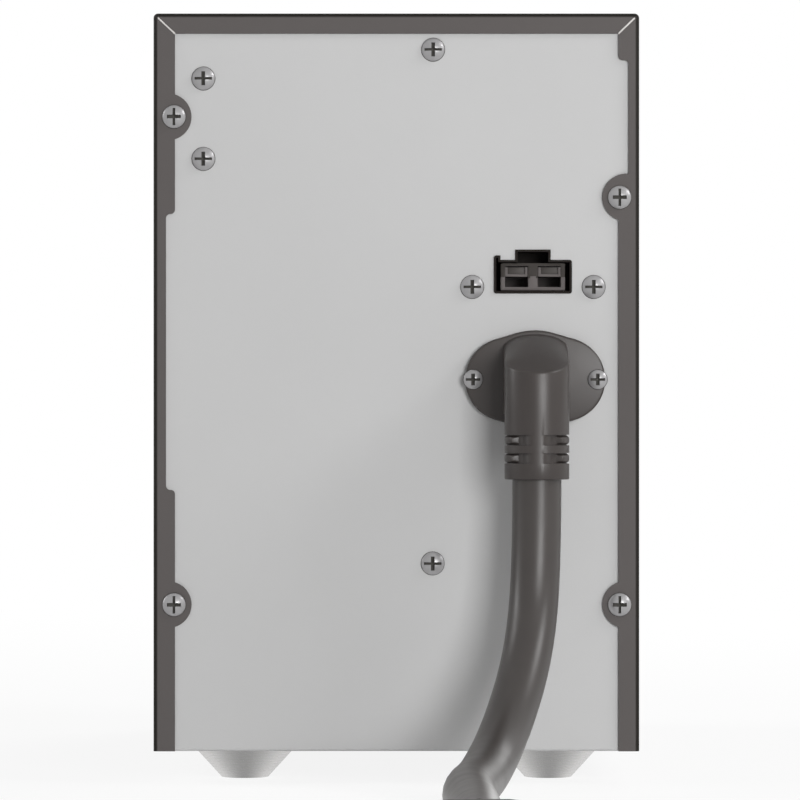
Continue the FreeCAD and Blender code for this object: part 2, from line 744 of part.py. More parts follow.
def pan_screw(spot, prefix=""):
    """Pan head with a cross recess; its rim and its crown stand towards -Y from its seat."""
    x, y, z = spot
    radius, height = f"{prefix}head_radius", f"{prefix}head_height"
    span, shank = f"{prefix}recess_span", f"{prefix}shank_radius"
    rim = rod("head_rim", "Y", x, f"{y} - head_rim", z, radius, "head_rim")
    crown = doc.addObject("Part::Cone", "head_crown")
    crown.Placement = FreeCAD.Placement(V(), TURNS["Y"])
    bind(crown, Radius1=f"{prefix}head_crown", Radius2=radius, Height=f"{height} - head_rim")
    place(crown, x, f"{y} - {height}", z)
    arms = [
        box("recess_arm", f"{x} - {wide} / 2", f"{y} - {height} - over_cut", f"{z} - {tall} / 2",
            wide, "recess_depth + over_cut", tall)
        for wide, tall in ((span, "recess_width"), ("recess_width", span))
    ]
    stem = rod("shank", "Y", x, y, z, shank, "shank_length")
    return join("screw", cut("head", join("head_blank", rim, crown), *arms), stem)


def make_screws():
    node("cover_screws", group("cover_screw_set", [pan_screw(spot) for spot in COVER_SCREWS]))
    node("panel_screws", group("panel_screw_set", [pan_screw(spot) for spot in PANEL_SCREWS]))
    node("board_screws", group("board_screw_set", [pan_screw(spot) for spot in BOARD_SCREWS]))
    node("socket_screws", group("socket_screw_set", [pan_screw(spot) for spot in SOCKET_SCREWS]))
    node("elbow_screws", group("elbow_screw_set", [pan_screw(spot, "small_") for spot in ELBOW_SCREWS]))
    front = []
    for x, z in FRONT_SCREWS:
        head = rod("front_head", "Y", x, JOINT, z, "front_screw_radius", "front_screw_head")
        stem = rod("front_shank", "Y", x, f"{JOINT} - front_screw_length", z, "front_screw_shank",
                   "front_screw_length")
        front.append(join("front_screw", head, stem))
    node("front_screws", group("front_screw_set", front))


# Feet: cones with a counterbore for the screw

def make_feet():
    screws = []
    for name, (x, y) in FOOT_SPOTS.items():
        cone = bind(doc.addObject("Part::Cone", "foot_cone"), Radius1="foot_bottom_radius",
                    Radius2="foot_top_radius", Height="foot_height")
        place(cone, x, y, "0")
        bore = rod("foot_bore", "Z", x, y, "-over_cut", "foot_shank_radius + hole_gap",
                   "foot_height + 2 * over_cut")
        sink = rod("foot_sink", "Z", x, y, "-over_cut", "foot_counterbore",
                   "foot_counterbore_depth + over_cut")
        node(f"foot_{name}", cut("foot", cone, bore, sink))
        head = rod("foot_head", "Z", x, y, "foot_counterbore_depth - foot_head_height",
                   "foot_head_radius", "foot_head_height")
        stem = rod("foot_stem", "Z", x, y, "foot_counterbore_depth", "foot_shank_radius",
                   "foot_height - foot_counterbore_depth + sheet_thick")
        screws.append(join("foot_screw", head, stem))
    node("foot_screws", group("foot_screw_set", screws))


# Socket: shroud with a screw flange, housing with two bays, and the contacts in them

def make_socket():
    shroud = new_body("shroud_moulding")
    depth = "(sheet_thick + shroud_proud + shroud_depth)"
    pad(shroud, "XZ", f"{PANEL} - shroud_proud", depth, loops=[socket_outline()])
    round_edges(shroud, straight_edges(shroud.Shape, "Y", x=CUTOUT_SIDES), "cutout_corner")
    low = f"{SOCKET_Z} - socket_screw_drop - shroud_flange_height / 3"
    flange = rectangle(f"{SOCKET_X} - shroud_flange_width / 2", low,
                       f"{SOCKET_X} + shroud_flange_width / 2", f"{low} + shroud_flange_height")
    pad(shroud, "XZ", BAY, "shroud_flange_thick", loops=[flange])
    pocket(shroud, "XZ", f"{PANEL} - shroud_proud - over_cut", f"{depth} - shroud_back + over_cut",
           loops=[socket_outline("shroud_wall")])
    window = centred(SOCKET_X, SOCKET_Z, "housing_width", "housing_height")
    pocket(shroud, "XZ", f"{BAY} + shroud_depth - shroud_back - over_cut", "shroud_back + 2 * over_cut",
           loops=[window])
    holes = [(x, z, "shank_radius + hole_gap") for x, y, z in SOCKET_SCREWS]
    pocket(shroud, "XZ", f"{BAY} - over_cut", "shroud_flange_thick + 2 * over_cut", rings=holes)
    node("socket_shroud", shroud)

    face = f"({PANEL} + housing_recess)"
    housing = new_body("housing_moulding")
    pad(housing, "XZ", face, "housing_length", loops=[window])
    bays = [centred(f"{SOCKET_X} + {side} * pole_spread", SOCKET_Z, "pole_width", "pole_height")
            for side in (-1, 1)]
    pocket(housing, "XZ", f"{face} - over_cut", "pole_depth + over_cut", loops=bays)
    node("socket_housing", housing)

    contacts = []
    for side in (-1, 1):
        x = f"{SOCKET_X} + {side} * pole_spread"
        top = f"({SOCKET_Z} + pole_height / 2)"
        tongue = box("tongue", f"{x} - pole_width / 2", f"{face} + contact_setback",
                     f"{top} - contact_height", "pole_width", "pole_depth - contact_setback",
                     "contact_height")
        inset_top = "(contact_height + contact_inset_height) / 2"
        inset = box("tongue_inset", f"{x} - contact_inset_width / 2",
                    f"{face} + contact_setback - over_cut", f"{top} - contact_height - over_cut",
                    "contact_inset_width", "contact_inset + over_cut",
                    f"{inset_top} + over_cut")
        contacts.append(cut("contact", tongue, inset))
    node("socket_contacts", group("contact_set", contacts))


def centred(x, y, width, height):
    low = (f"{x} - {width} / 2", f"{y} - {height} / 2")
    high = (f"{x} + {width} / 2", f"{y} + {height} / 2")
    return rectangle(*low, *high)


# Elbow: oval flange, sloping hood, round barrel with flex grooves, and the spigot through the panel

def make_flange():
    """Two end arcs and two flatter arcs, joined by tangent lines."""
    body = new_body("elbow_flange")
    drawing = new_sketch(body, "XZ", f"{PANEL} - elbow_flange_thick")
    end_radius, side_radius = size("flange_end_radius"), size("flange_side_radius")
    spread, drop = size("flange_end_spread"), side_radius - size("flange_half_height")
    lean = math.atan2(drop, spread) + math.acos((side_radius - end_radius) / math.hypot(drop, spread))
    centre = V(size(ELBOW_X), size(ELBOW_Z), 0)
    axis = V(0, 0, 1)
    quarters = [lean, math.pi - lean, math.pi + lean, 2 * math.pi - lean]
    right = Part.Circle(centre + V(spread, 0, 0), axis, end_radius)
    top = Part.Circle(centre + V(0, -drop, 0), axis, side_radius)
    left = Part.Circle(centre + V(-spread, 0, 0), axis, end_radius)
    bottom = Part.Circle(centre + V(0, drop, 0), axis, side_radius)
    arcs = [
        Part.ArcOfCircle(right, quarters[3], quarters[0] + 2 * math.pi),
        Part.ArcOfCircle(top, quarters[0], quarters[1]),
        Part.ArcOfCircle(left, quarters[1], quarters[2]),
        Part.ArcOfCircle(bottom, quarters[2], quarters[3]),
    ]
    for here, there in zip(arcs, arcs[1:] + arcs[:1]):
        drawing.addGeometry(here, False)
        drawing.addGeometry(Part.LineSegment(here.EndPoint, there.StartPoint), False)
    for arc in range(0, 8, 2):
        line, following = arc + 1, (arc + 2) % 8
        drawing.addConstraint(Sketcher.Constraint("Tangent", arc, 2, line, 1))
        drawing.addConstraint(Sketcher.Constraint("Tangent", line, 2, following, 1))
    hub = "(flange_side_radius - flange_half_height)"
    for arc, x, z, radius in (
            (0, f"{ELBOW_X} + flange_end_spread", ELBOW_Z, "flange_end_radius"),
            (2, ELBOW_X, f"{ELBOW_Z} - {hub}", "flange_side_radius"),
            (4, f"{ELBOW_X} - flange_end_spread", ELBOW_Z, "flange_end_radius"),
            (6, ELBOW_X, f"{ELBOW_Z} + {hub}", "flange_side_radius")):
        pin(drawing, arc, 3, x, z)
        dimension(drawing, "Radius", arc, text=radius)
    plate = body.newObject("PartDesign::Pad", "elbow_flange_pad")
    plate.Profile = drawing
    plate.Reversed = True
    bind(plate, Length="elbow_flange_thick")
    doc.recompute()
    front = size(f"{PANEL} - elbow_flange_thick")
    rim = [f"Edge{index}" for index, edge in enumerate(body.Shape.Edges, start=1)
           if abs(edge.BoundBox.YMin - front) < NEAR and abs(edge.BoundBox.YMax - front) < NEAR]
    round_edges(body, rim, "flange_edge")
    holes = [(x, z, "small_shank_radius + hole_gap") for x, y, z in ELBOW_SCREWS]
    pocket(body, "XZ", f"{PANEL} - elbow_flange_thick - over_cut", "elbow_flange_thick + 2 * over_cut",
           rings=holes)
    return body


def make_elbow():
    leg_low = f"({ELBOW_Z} - leg_drop)"
    crest = f"({ELBOW_Z} + hood_rise)"
    front = f"({BARREL_Y} - barrel_radius)"
    left, right = f"({ELBOW_X} - barrel_radius)", f"({ELBOW_X} + barrel_radius)"

    # The hood is where a rounded plan, a sloping side view and an arched front view meet
    plan = join("hood_plan",
                rod("hood_round", "Z", ELBOW_X, BARREL_Y, leg_low, "barrel_radius", f"{crest} - {leg_low}"),
                box("hood_straight", left, BARREL_Y, leg_low, "2 * barrel_radius", "barrel_offset",
                    f"{crest} - {leg_low}"))
    slope = new_body("hood_slope")
    pad(slope, "YZ", left, "2 * barrel_radius", loops=[[
        (front, leg_low), (PANEL, leg_low), (PANEL, crest),
        (front, f"{crest} - (barrel_offset + barrel_radius) * tan(hood_slope)")]])
    arch = new_body("hood_arch")
    shoulder = f"({ELBOW_Z} + hood_shoulder)"
    rise = "(hood_rise - hood_shoulder)"
    pad(arch, "XZ", front, "barrel_offset + barrel_radius",
        loops=[[(left, leg_low), (right, leg_low), (right, shoulder), (left, shoulder)]],
        bulges={2: (f"((barrel_radius * barrel_radius + {rise} * {rise}) / (2 * {rise}))", rise)})
    round_edges(arch, straight_edges(arch.Shape, "Y", z=[shoulder]), "hood_corner")
    hood = overlap("hood", plan, slope, arch)

    barrel = rod("barrel", "Z", ELBOW_X, BARREL_Y, BARREL_Z, "barrel_radius",
                 f"{leg_low} - {BARREL_Z} + 2 * over_cut")
    spigot = rod("spigot", "Y", ELBOW_X, PANEL, ELBOW_Z, "spigot_radius", "sheet_thick + spigot_length")
    solid = join("elbow_blank", hood, barrel, make_flange(), spigot)

    # Flex grooves: a sector of a ring on each side, with a narrow rib left across its outer part
    tools = []
    ribs = []
    for drop in ("groove_upper", "groove_lower"):
        for side in (-1, 1):
            level = f"{ELBOW_Z} - {drop}"
            tools.append(sector("groove", level, "groove_height", "barrel_radius + over_cut",
                                "barrel_radius - groove_depth", "groove_start", "groove_sweep", side))
            ribs.append(sector("rib", f"{level} + (groove_height - rib_height) / 2", "rib_height",
                               "barrel_radius", "barrel_radius - groove_depth - over_cut / 2",
                               "rib_start", "rib_sweep", side))
    return node("cable_elbow", join("elbow_moulding", cut("elbow_grooved", solid, *tools), *ribs))


def sector(name, level, height, outer, inner, start, sweep, side):
    """Part of a ring round the barrel; angles count from the front, towards +X or -X."""
    wedge = doc.addObject("Part::Cylinder", name + "_wedge")
    bind(wedge, Radius=outer, Height=height, Angle=sweep)
    wedge.setExpression("Placement.Rotation.Angle", formula(
        f"{start} - 90" if side > 0 else f"-90 - {start} - {sweep}"))
    place(wedge, ELBOW_X, BARREL_Y, level)
    core = rod(name + "_core", "Z", ELBOW_X, BARREL_Y, f"{level} - over_cut", inner,
               f"{height} + 2 * over_cut")
    return cut(name + "_sector", wedge, core)


# Cords and leads: straight runs joined by tangent arcs

def rounded_path(points, share=0.45, cap=None):
    """A wire along the points, each corner turned by an arc; returns the wire and the radii."""
    edges = []
    radii = []
    here = points[0]
    for before, corner, after in zip(points, points[1:], points[2:]):
        arrive = (corner - before).normalize()
        leave = (after - corner).normalize()
        turn = arrive.getAngle(leave)
        setback = share * min((corner - before).Length, (after - corner).Length)
        radius = setback / math.tan(turn / 2)
        if cap and radius > cap:
            radius, setback = cap, cap * math.tan(turn / 2)
        start = corner - arrive * setback
        end = corner + leave * setback
        inward = (leave - arrive).normalize()
        centre = corner + inward * (radius / math.cos(turn / 2))
        edges.append(Part.LineSegment(here, start).toShape())
        edges.append(Part.Arc(start, centre - inward * radius, end).toShape())
        radii.append(radius)
        here = end
    edges.append(Part.LineSegment(here, points[-1]).toShape())
    return Part.Wire(edges), radii


def tube(points, radius, **bend):
    path, radii = rounded_path(points, **bend)
    ends = Part.Circle(points[0], points[1] - points[0], radius).toShape()
    solid = path.makePipeShell([Part.Wire([ends])], True, True)
    expected = math.pi * radius ** 2 * path.Length
    assert abs(solid.Volume - expected) < 0.01 * expected, "a tube's volume differs from its length"
    return solid, path.Length, radii


# The cable's route: offsets from the barrel's axis, and heights above the surface it stands on
CABLE_ROUTE = [
    (0.0, 0.0, 95.3),
    (-4.0, -14.0, 58.0),
    (-14.5, -43.0, 27.5),
    (-25.0, -84.0, 10.7),
    (-33.0, -155.0, 10.7),
    (-30.0, -240.0, 10.7),
    (-30.0, -320.0, 10.7),
]


def make_cable():
    start = V(size(ELBOW_X), size(BARREL_Y), 0)
    points = [start + V(0, 0, size(BARREL_Z))] + [start + V(*spot) for spot in CABLE_ROUTE]
    solid, length, radii = tube(points, size("cable_diameter") / 2)
    cable = doc.addObject("Part::Feature", "cable_tube")
    cable.Shape = solid
    node("cable", cable)
    print("cable: length", round(length, 1), "arc radii", [round(radius, 1) for radius in radii])


def make_plug():
    """A grip, two cheeks that pass beside the socket's housing, a latch and two blades."""
    end_x, end_y, end_z = CABLE_ROUTE[-1]
    x = f"({ELBOW_X} + {end_x})"
    back = f"({BARREL_Y} + {end_y})"
    middle = "(cable_diameter / 2)"
    front = f"({back} - grip_length)"
    tip = f"({front} - nose_length)"
    body = new_body("plug_grip")
    pad(body, "XY", "0", "cable_diameter", loops=[[
        (f"{x} - grip_neck / 2", back), (f"{x} - grip_width / 2", f"{back} - grip_taper"),
        (f"{x} - grip_width / 2", front), (f"{x} + grip_width / 2", front),
        (f"{x} + grip_width / 2", f"{back} - grip_taper"), (f"{x} + grip_neck / 2", back)]])
    round_edges(body, straight_edges(body.Shape, "Y", x=[f"{x} - grip_width / 2", f"{x} + grip_width / 2"]),
                "grip_edge")
    pieces = [body]
    reach = "housing_width / 2 + mating_gap"
    for side in (-1, 1):
        inner = f"{x} + {side} * ({reach})" + (" - cheek_thick" if side < 0 else "")
        pieces.append(box("cheek", inner, tip, f"{middle} - housing_height / 2", "cheek_thick",
                          "nose_length + over_cut", "housing_height"))
    latch_low = f"{middle} + housing_height / 2 + mating_gap"
    latch_high = f"{middle} + cutout_height / 2 + tab_height - shroud_wall - mating_gap"
    pieces.append(box("latch", f"{x} - latch_width / 2", tip, latch_low, "latch_width",
                      "nose_length + over_cut", f"{latch_high} - ({latch_low})"))
    node("plug_housing", join("plug_moulding", *pieces))
    blades = []
    for side in (-1, 1):
        centre = f"{x} + {side} * pole_spread"
        lowest = f"{middle} - pole_height / 2 + mating_gap"
        blades.append(box("blade", f"{centre} - blade_width / 2", tip, lowest, "blade_width", "nose_length",
                          "blade_height"))
    node("plug_contacts", group("blade_set", blades))


# Battery blocks: three rows of three and their twins in front, less two places in the top layer

def block_spots():
    for layer in range(3):
        for row in ("rear", "front"):
            for column in (-1, 0, 1):
                if layer == 2 and row == "rear" and column < 1:
                    continue
                yield layer, row, column


def layer_seat(layer):
    return f"({SEAT} + {layer} * {LAYER_PITCH})"


def terminal_line(row):
    """The terminals stand near the outer end of each row; this is the blades' rear face."""
    if row == "rear":
        return f"({STACK_REAR} + terminal_setback)"
    return f"({STACK_FRONT} - terminal_setback - terminal_thick)"


def make_blocks():
    for number, (layer, row, column) in enumerate(block_spots(), start=1):
        seat = layer_seat(layer)
        left = f"({column} * {BLOCK_WIDTH} - {BLOCK_WIDTH} / 2)"
        rear = STACK_REAR if row == "rear" else f"({STACK_REAR} + {BLOCK_LENGTH})"
        body = new_body(f"block_{number}")
        shape = rectangle(left, rear, f"{left} + {BLOCK_WIDTH}", f"{rear} + {BLOCK_LENGTH}")
        pad(body, "XY", seat, f"{BLOCK_HEIGHT} - lid_height", loops=[shape])
        shape = rectangle(f"{left} + lid_inset", f"{rear} + lid_inset",
                          f"{left} + {BLOCK_WIDTH} - lid_inset", f"{rear} + {BLOCK_LENGTH} - lid_inset")
        pad(body, "XY", f"{seat} + {BLOCK_HEIGHT} - lid_height", "lid_height", loops=[shape])
        bevel_edges(body, straight_edges(body.Shape, "Z"), "block_corner")
        top = f"{seat} + {BLOCK_HEIGHT}"
        pads = [body]
        for side in (-1, 1):
            middle = f"{column} * {BLOCK_WIDTH} + {side} * ({BLOCK_WIDTH} / 2 - terminal_inset)"
            pads.append(box("terminal", f"{middle} - terminal_width / 2", terminal_line(row), top,
                            "terminal_width", "terminal_thick", "terminal_height"))
        node(f"battery_{number:02d}", join("battery", *pads))


def make_links():
    """Straps between neighbouring blocks of a row, pressed against the blades' faces."""
    places = set(block_spots())
    for layer, name in enumerate(("lower", "middle", "upper")):
        straps = []
        for row in ("rear", "front"):
            for column in (-1, 0):
                if (layer, row, column) in places and (layer, row, column + 1) in places:
                    start = f"({column} + 0.5) * {BLOCK_WIDTH} - terminal_inset - terminal_width / 2"
                    line = f"{terminal_line(row)} + terminal_thick"
                    level = f"{layer_seat(layer)} + {BLOCK_HEIGHT} + (terminal_height - link_height)"
                    straps.append(box("strap", start, line, level, "2 * terminal_inset + terminal_width",
                                      "link_thick", "link_height"))
        node(f"links_{name}", group(f"link_set_{name}", straps))


# Rack: two C-section sides, two shelves, insulating sheets and foam

def make_rack():
    height = f"{RACK_TOP} - {DECK}"

    def side_plate(side):
        outer, inner = f"{side} * {RACK_OUT}", f"{side} * {RACK_IN}"
        tip = f"{side} * ({RACK_IN} - rack_flange)"
        front, rear = PLATE, f"({STACK_REAR} - sheet_thick)"
        section = [(outer, rear), (tip, rear), (tip, STACK_REAR), (inner, STACK_REAR),
                   (inner, f"{front} - sheet_thick"), (tip, f"{front} - sheet_thick"), (tip, front),
                   (outer, front)]
        body = new_body(f"rack_plate_{'left' if side < 0 else 'right'}")
        pad(body, "XY", DECK, height, loops=[section])
        rings = [(x, z, "front_screw_shank + hole_gap") for x, z in FRONT_SCREWS[:-1]
                 if x.startswith(f"{side} ")]
        pocket(body, "XZ", f"{PLATE} - sheet_thick - over_cut", THROUGH, rings=rings)
        return body

    mirrored_pair("rack_side", side_plate)

    for layer, name in ((1, "lower"), (2, "upper")):
        level = f"({layer_seat(layer)} - insulator_thick - sheet_thick)"
        inner = f"({RACK_IN} - sheet_thick)"
        section = [(f"-{RACK_IN}", f"{level} - shelf_flange"), (f"-{inner}", f"{level} - shelf_flange"),
                   (f"-{inner}", level), (inner, level), (inner, f"{level} - shelf_flange"),
                   (RACK_IN, f"{level} - shelf_flange"), (RACK_IN, f"{level} + sheet_thick"),
                   (f"-{RACK_IN}", f"{level} + sheet_thick")]
        body = new_body(f"shelf_plate_{name}")
        pad(body, "XZ", STACK_REAR, f"2 * {BLOCK_LENGTH}", loops=[section])
        node(f"shelf_{name}", body)

    for layer, name in enumerate(("floor", "lower", "upper")):
        sheet_box = box("insulator", f"-1.5 * {BLOCK_WIDTH}", STACK_REAR,
                        f"{layer_seat(layer)} - insulator_thick", f"3 * {BLOCK_WIDTH}",
                        f"2 * {BLOCK_LENGTH}", "insulator_thick")
        node(f"insulator_{name}", sheet_box)

    def side_pad(side):
        start = f"{RACK_IN} - side_pad_thick" if side > 0 else f"-{RACK_IN}"
        strip_length = f"2 * {BLOCK_LENGTH} - 2 * side_pad_inset"
        strips = [
            box("foam_strip", start, f"{STACK_REAR} + side_pad_inset",
                f"{layer_seat(layer)} + side_pad_rise", "side_pad_thick", strip_length, "side_pad_height")
            for layer in range(3)
        ]
        return group("side_foam", strips)

    mirrored_pair("side_pads", side_pad)
    front = [box("front_foam", "-front_pad_width / 2", STACK_FRONT, f"{layer_seat(layer)} + side_pad_rise",
                 "front_pad_width", f"{PLATE} - {STACK_FRONT}", "side_pad_height") for layer in range(3)]
    node("front_pads", group("front_foam_set", front))


# Brackets inside the rear panel

def make_brackets():
    # Top brace: a channel from the rear panel to the front plate, with a tab at each end
    brace = new_body("brace_channel")
    left, right = "(top_screw_x - brace_width / 2)", "(top_screw_x + brace_width / 2)"
    low = f"({BRACE_Z} - brace_height)"
    under = f"{BRACE_Z} - sheet_thick"
    section = [(left, low), (f"{left} + sheet_thick", low), (f"{left} + sheet_thick", under),
               (f"{right} - sheet_thick", under), (f"{right} - sheet_thick", low),
               (right, low), (right, BRACE_Z), (left, BRACE_Z)]
    pad(brace, "XZ", BAY, f"{PLATE} - {BAY}", loops=[section])
    tab = rectangle(left, f"{BRACE_Z} - brace_tab", right, f"{BRACE_Z} - sheet_thick / 2")
    hole = [("top_screw_x", f"{ROOF} - top_screw_drop", "shank_radius + hole_gap")]
    for level in (BAY, f"{PLATE} - sheet_thick"):
        pad(brace, "XZ", level, "sheet_thick", loops=[tab])
        pocket(brace, "XZ", f"{level} - over_cut", THROUGH, rings=hole)
    node("top_brace", brace)

    # Tie strap: tab on the panel, arm across the wiring bay, upright strap against the blocks
    strap = new_body("strap_sheet")
    left, right = "(low_screw_x - strap_width / 2)", "(low_screw_x + strap_width / 2)"
    arm = f"({FLOOR} + low_screw_height - strap_tab / 2)"
    pad(strap, "XY", arm, "sheet_thick", loops=[rectangle(left, BAY, right, STACK_REAR)])
    pad(strap, "XZ", BAY, "sheet_thick", loops=[rectangle(left, arm, right, f"{arm} + strap_tab")])
    upright = rectangle(left, f"{FLOOR} + strap_low", right, f"{FLOOR} + strap_high")
    pad(strap, "XZ", f"{STACK_REAR} - sheet_thick", "sheet_thick", loops=[upright])
    pocket(strap, "XZ", f"{BAY} - over_cut", THROUGH,
           rings=[("low_screw_x", f"{FLOOR} + low_screw_height", "shank_radius + hole_gap")])
    node("tie_strap", strap)

    # Battery stop: an angle on the upper shelf beside the single block of the rear row
    stop = new_body("stop_angle")
    edge = f"({BLOCK_WIDTH} / 2)"
    level = layer_seat(2)
    top, foot_top = f"{level} + stop_height", f"{level} + sheet_thick"
    section = [(edge, level), (edge, top), (f"{edge} - sheet_thick", top),
               (f"{edge} - sheet_thick", foot_top), (f"{edge} - stop_foot", foot_top),
               (f"{edge} - stop_foot", level)]
    pad(stop, "XZ", f"{STACK_REAR} + side_pad_inset", f"{BLOCK_LENGTH} - 2 * side_pad_inset",
        loops=[section])
    node("battery_stop", stop)


BOARD_LOW = f"({ROOF} - board_screw_drop - board_screw_pitch - bracket_margin)"
BOARD_HIGH = f"({ROOF} - board_screw_drop + bracket_margin)"
BRACKET_X = f"(board_screw_inset - {HALF} + bracket_tab / 2)"
BOARD_X = f"({BRACKET_X} + standoff_length)"
BOARD_REAR = f"({BAY} + 2 * board_inset)"
BOARD_FRONT = f"({BAY} + bracket_reach - board_inset)"


def make_fuse_board():
    # Bracket: tab behind the panel, arm towards the blocks with four standoffs
    bracket = new_body("bracket_sheet")
    tab_left = f"(board_screw_inset - {HALF} - bracket_tab / 2)"
    section = [(tab_left, BAY), (BRACKET_X, BAY), (BRACKET_X, f"{BAY} + bracket_reach"),
               (f"{BRACKET_X} - sheet_thick", f"{BAY} + bracket_reach"),
               (f"{BRACKET_X} - sheet_thick", f"{BAY} + sheet_thick"), (tab_left, f"{BAY} + sheet_thick")]
    pad(bracket, "XY", BOARD_LOW, f"{BOARD_HIGH} - {BOARD_LOW}", loops=[section])
    holes = [(x, z, "shank_radius + hole_gap") for x, y, z in BOARD_SCREWS]
    pocket(bracket, "XZ", f"{BAY} - over_cut", THROUGH, rings=holes)
    standoffs = [
        rod("standoff", "X", BRACKET_X, y, z, "standoff_radius", "standoff_length")
        for y in (f"{BOARD_REAR} + board_inset", f"{BOARD_FRONT} - board_inset")
        for z in (f"{BOARD_LOW} + board_inset", f"{BOARD_HIGH} - board_inset")
    ]
    node("fuse_bracket", join("bracket_with_standoffs", bracket, *standoffs))

    # Board with two pairs of clips and a terminal block; a fuse lies in each pair
    face = f"({BOARD_X} + board_thick)"
    plate = box("board_plate", BOARD_X, BOARD_REAR, BOARD_LOW, "board_thick",
                f"{BOARD_FRONT} - {BOARD_REAR}", f"{BOARD_HIGH} - {BOARD_LOW}")
    middle = f"(({BOARD_LOW} + {BOARD_HIGH}) / 2)"
    start = f"({BOARD_FRONT} - fuse_length - board_inset)"
    pieces = []
    fuses = []
    for side in (-1, 1):
        z = f"({middle} + {side} * fuse_pitch / 2)"
        axis_x = f"({face} + clip_depth / 2)"
        fuses.append(rod("fuse_body", "Y", axis_x, start, z, "fuse_radius", "fuse_length"))
        for y in (start, f"{start} + fuse_length - clip_width"):
            block = box("clip_block", face, y, f"{z} - fuse_radius - sheet_thick", "clip_depth",
                        "clip_width", "2 * fuse_radius + 2 * sheet_thick")
            seat = rod("clip_seat", "Y", axis_x, f"{y} - over_cut", z, "fuse_radius",
                       "clip_width + 2 * over_cut")
            throat = box("clip_throat", axis_x, f"{y} - over_cut", f"{z} - fuse_radius", "clip_depth",
                         "clip_width + 2 * over_cut", "2 * fuse_radius")
            pieces.append(cut("fuse_clip", block, seat, throat))
    terminal_block = box("terminal_block", face, f"{BOARD_REAR} + board_inset / 2", TERMINAL_LOW,
                         "clip_depth", "terminal_block_length", "4 * lead_pitch + 2 * lead_radius")
    node("fuse_board", join("board_with_clips", plate, terminal_block, *pieces))
    node("fuses", group("fuse_set", fuses))


TERMINAL_MIDDLE = f"(({BOARD_LOW} + {BOARD_HIGH}) / 2)"
TERMINAL_LOW = f"({TERMINAL_MIDDLE} - 2 * lead_pitch - lead_radius)"


# The leads' runs: which outlet, which side, the run's distance from the panel, and the block's level
LEAD_RUNS = {
    "positive": [("elbow", -1, 24.0, 2), ("socket", -1, 40.0, 1)],
    "negative": [("elbow", 1, 32.0, -1), ("socket", 1, 48.0, -2)],
}


def make_leads():
    """Leads from the lead outlet and from the socket to the terminal block, each in its own plane."""
    block_x = size(f"{BOARD_X} + board_thick + clip_depth")
    block_y = size(f"{BOARD_REAR} + board_inset / 2 + terminal_block_length / 2")
    bend = size("lead_bend")
    starts = {
        "elbow": (ELBOW_X, "lead_pitch", SPIGOT_END, ELBOW_Z),
        "socket": (SOCKET_X, "pole_spread", f"{PANEL} + housing_recess + housing_length", SOCKET_Z),
    }
    for name, runs in LEAD_RUNS.items():
        leads = []
        for outlet, side, distance, step in runs:
            centre, spread, y, z = starts[outlet]
            x = size(f"{centre} + {side} * {spread}")
            plane = size(BAY) + distance
            level = size(f"{TERMINAL_MIDDLE} + {step} * lead_pitch")
            points = [
                V(x, size(y), size(z)),
                V(x, plane, size(z)),
                V(block_x + 3 * bend, plane, level),
                V(block_x + bend, block_y, level),
                V(block_x, block_y, level),
            ]
            leads.append(tube(points, size("lead_radius"), cap=bend)[0])
        item = doc.addObject("Part::Feature", f"lead_pair_{name}")
        item.Shape = Part.makeCompound(leads)
        node(f"leads_{name}", item)


def check_and_write():
    doc.recompute()
    for item in doc.Objects:
        if "Invalid" in item.State or "Error" in item.State:
            raise RuntimeError(f"{item.Name} ({item.Label}) failed: {item.State}")
    os.makedirs("parts", exist_ok=True)
    for label, item in NODES.items():
        shape = item.Shape
        if shape.isNull() or not shape.isValid() or not shape.Solids:
            raise RuntimeError(f"{label} has no valid solid")
    for label, item in NODES.items():
        item.Shape.exportStep(f"parts/{label}.step")
    print(len(NODES), "sub-parts written")


node("cover", make_cover())
node("chassis", make_chassis())
node("front_plate", make_front_plate())
node("bezel", make_bezel())
make_feet()
make_screws()
make_socket()
make_elbow()
make_cable()
make_plug()
make_blocks()
make_links()
make_rack()
make_brackets()
make_fuse_board()
make_leads()
check_and_write()
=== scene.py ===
import json
import math

import bmesh
import bpy
from bpy.props import FloatProperty, FloatVectorProperty, IntProperty, PointerProperty
from mathutils import Matrix, Vector


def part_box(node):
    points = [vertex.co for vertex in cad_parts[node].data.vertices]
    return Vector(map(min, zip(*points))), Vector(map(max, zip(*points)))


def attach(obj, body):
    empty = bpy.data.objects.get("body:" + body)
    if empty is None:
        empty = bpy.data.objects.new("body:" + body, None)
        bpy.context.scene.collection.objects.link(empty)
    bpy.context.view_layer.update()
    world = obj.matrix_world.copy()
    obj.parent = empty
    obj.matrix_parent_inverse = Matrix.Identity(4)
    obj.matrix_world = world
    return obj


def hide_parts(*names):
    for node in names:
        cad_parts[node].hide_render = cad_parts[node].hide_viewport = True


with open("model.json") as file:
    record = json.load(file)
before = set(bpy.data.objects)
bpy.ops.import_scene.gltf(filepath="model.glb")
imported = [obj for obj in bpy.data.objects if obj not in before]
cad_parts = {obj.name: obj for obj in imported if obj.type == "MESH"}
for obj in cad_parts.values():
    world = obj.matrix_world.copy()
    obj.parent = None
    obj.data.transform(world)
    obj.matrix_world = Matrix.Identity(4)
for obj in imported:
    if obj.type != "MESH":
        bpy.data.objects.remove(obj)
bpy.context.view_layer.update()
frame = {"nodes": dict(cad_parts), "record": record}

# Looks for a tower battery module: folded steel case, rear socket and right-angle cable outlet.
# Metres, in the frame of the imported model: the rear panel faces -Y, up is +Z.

bl_info = {
    "name": "Tower Battery Module Looks",
    "version": (1, 0, 0),
    "blender": (4, 5, 0),
    "location": "View3D > Sidebar > Module",
    "description": "Builds the visible pieces, finishes and stage of a tower battery module",
    "category": "Object",
}

ALL = "root"
# Points closer than this, in metres, are one point
NEAR = 2e-6
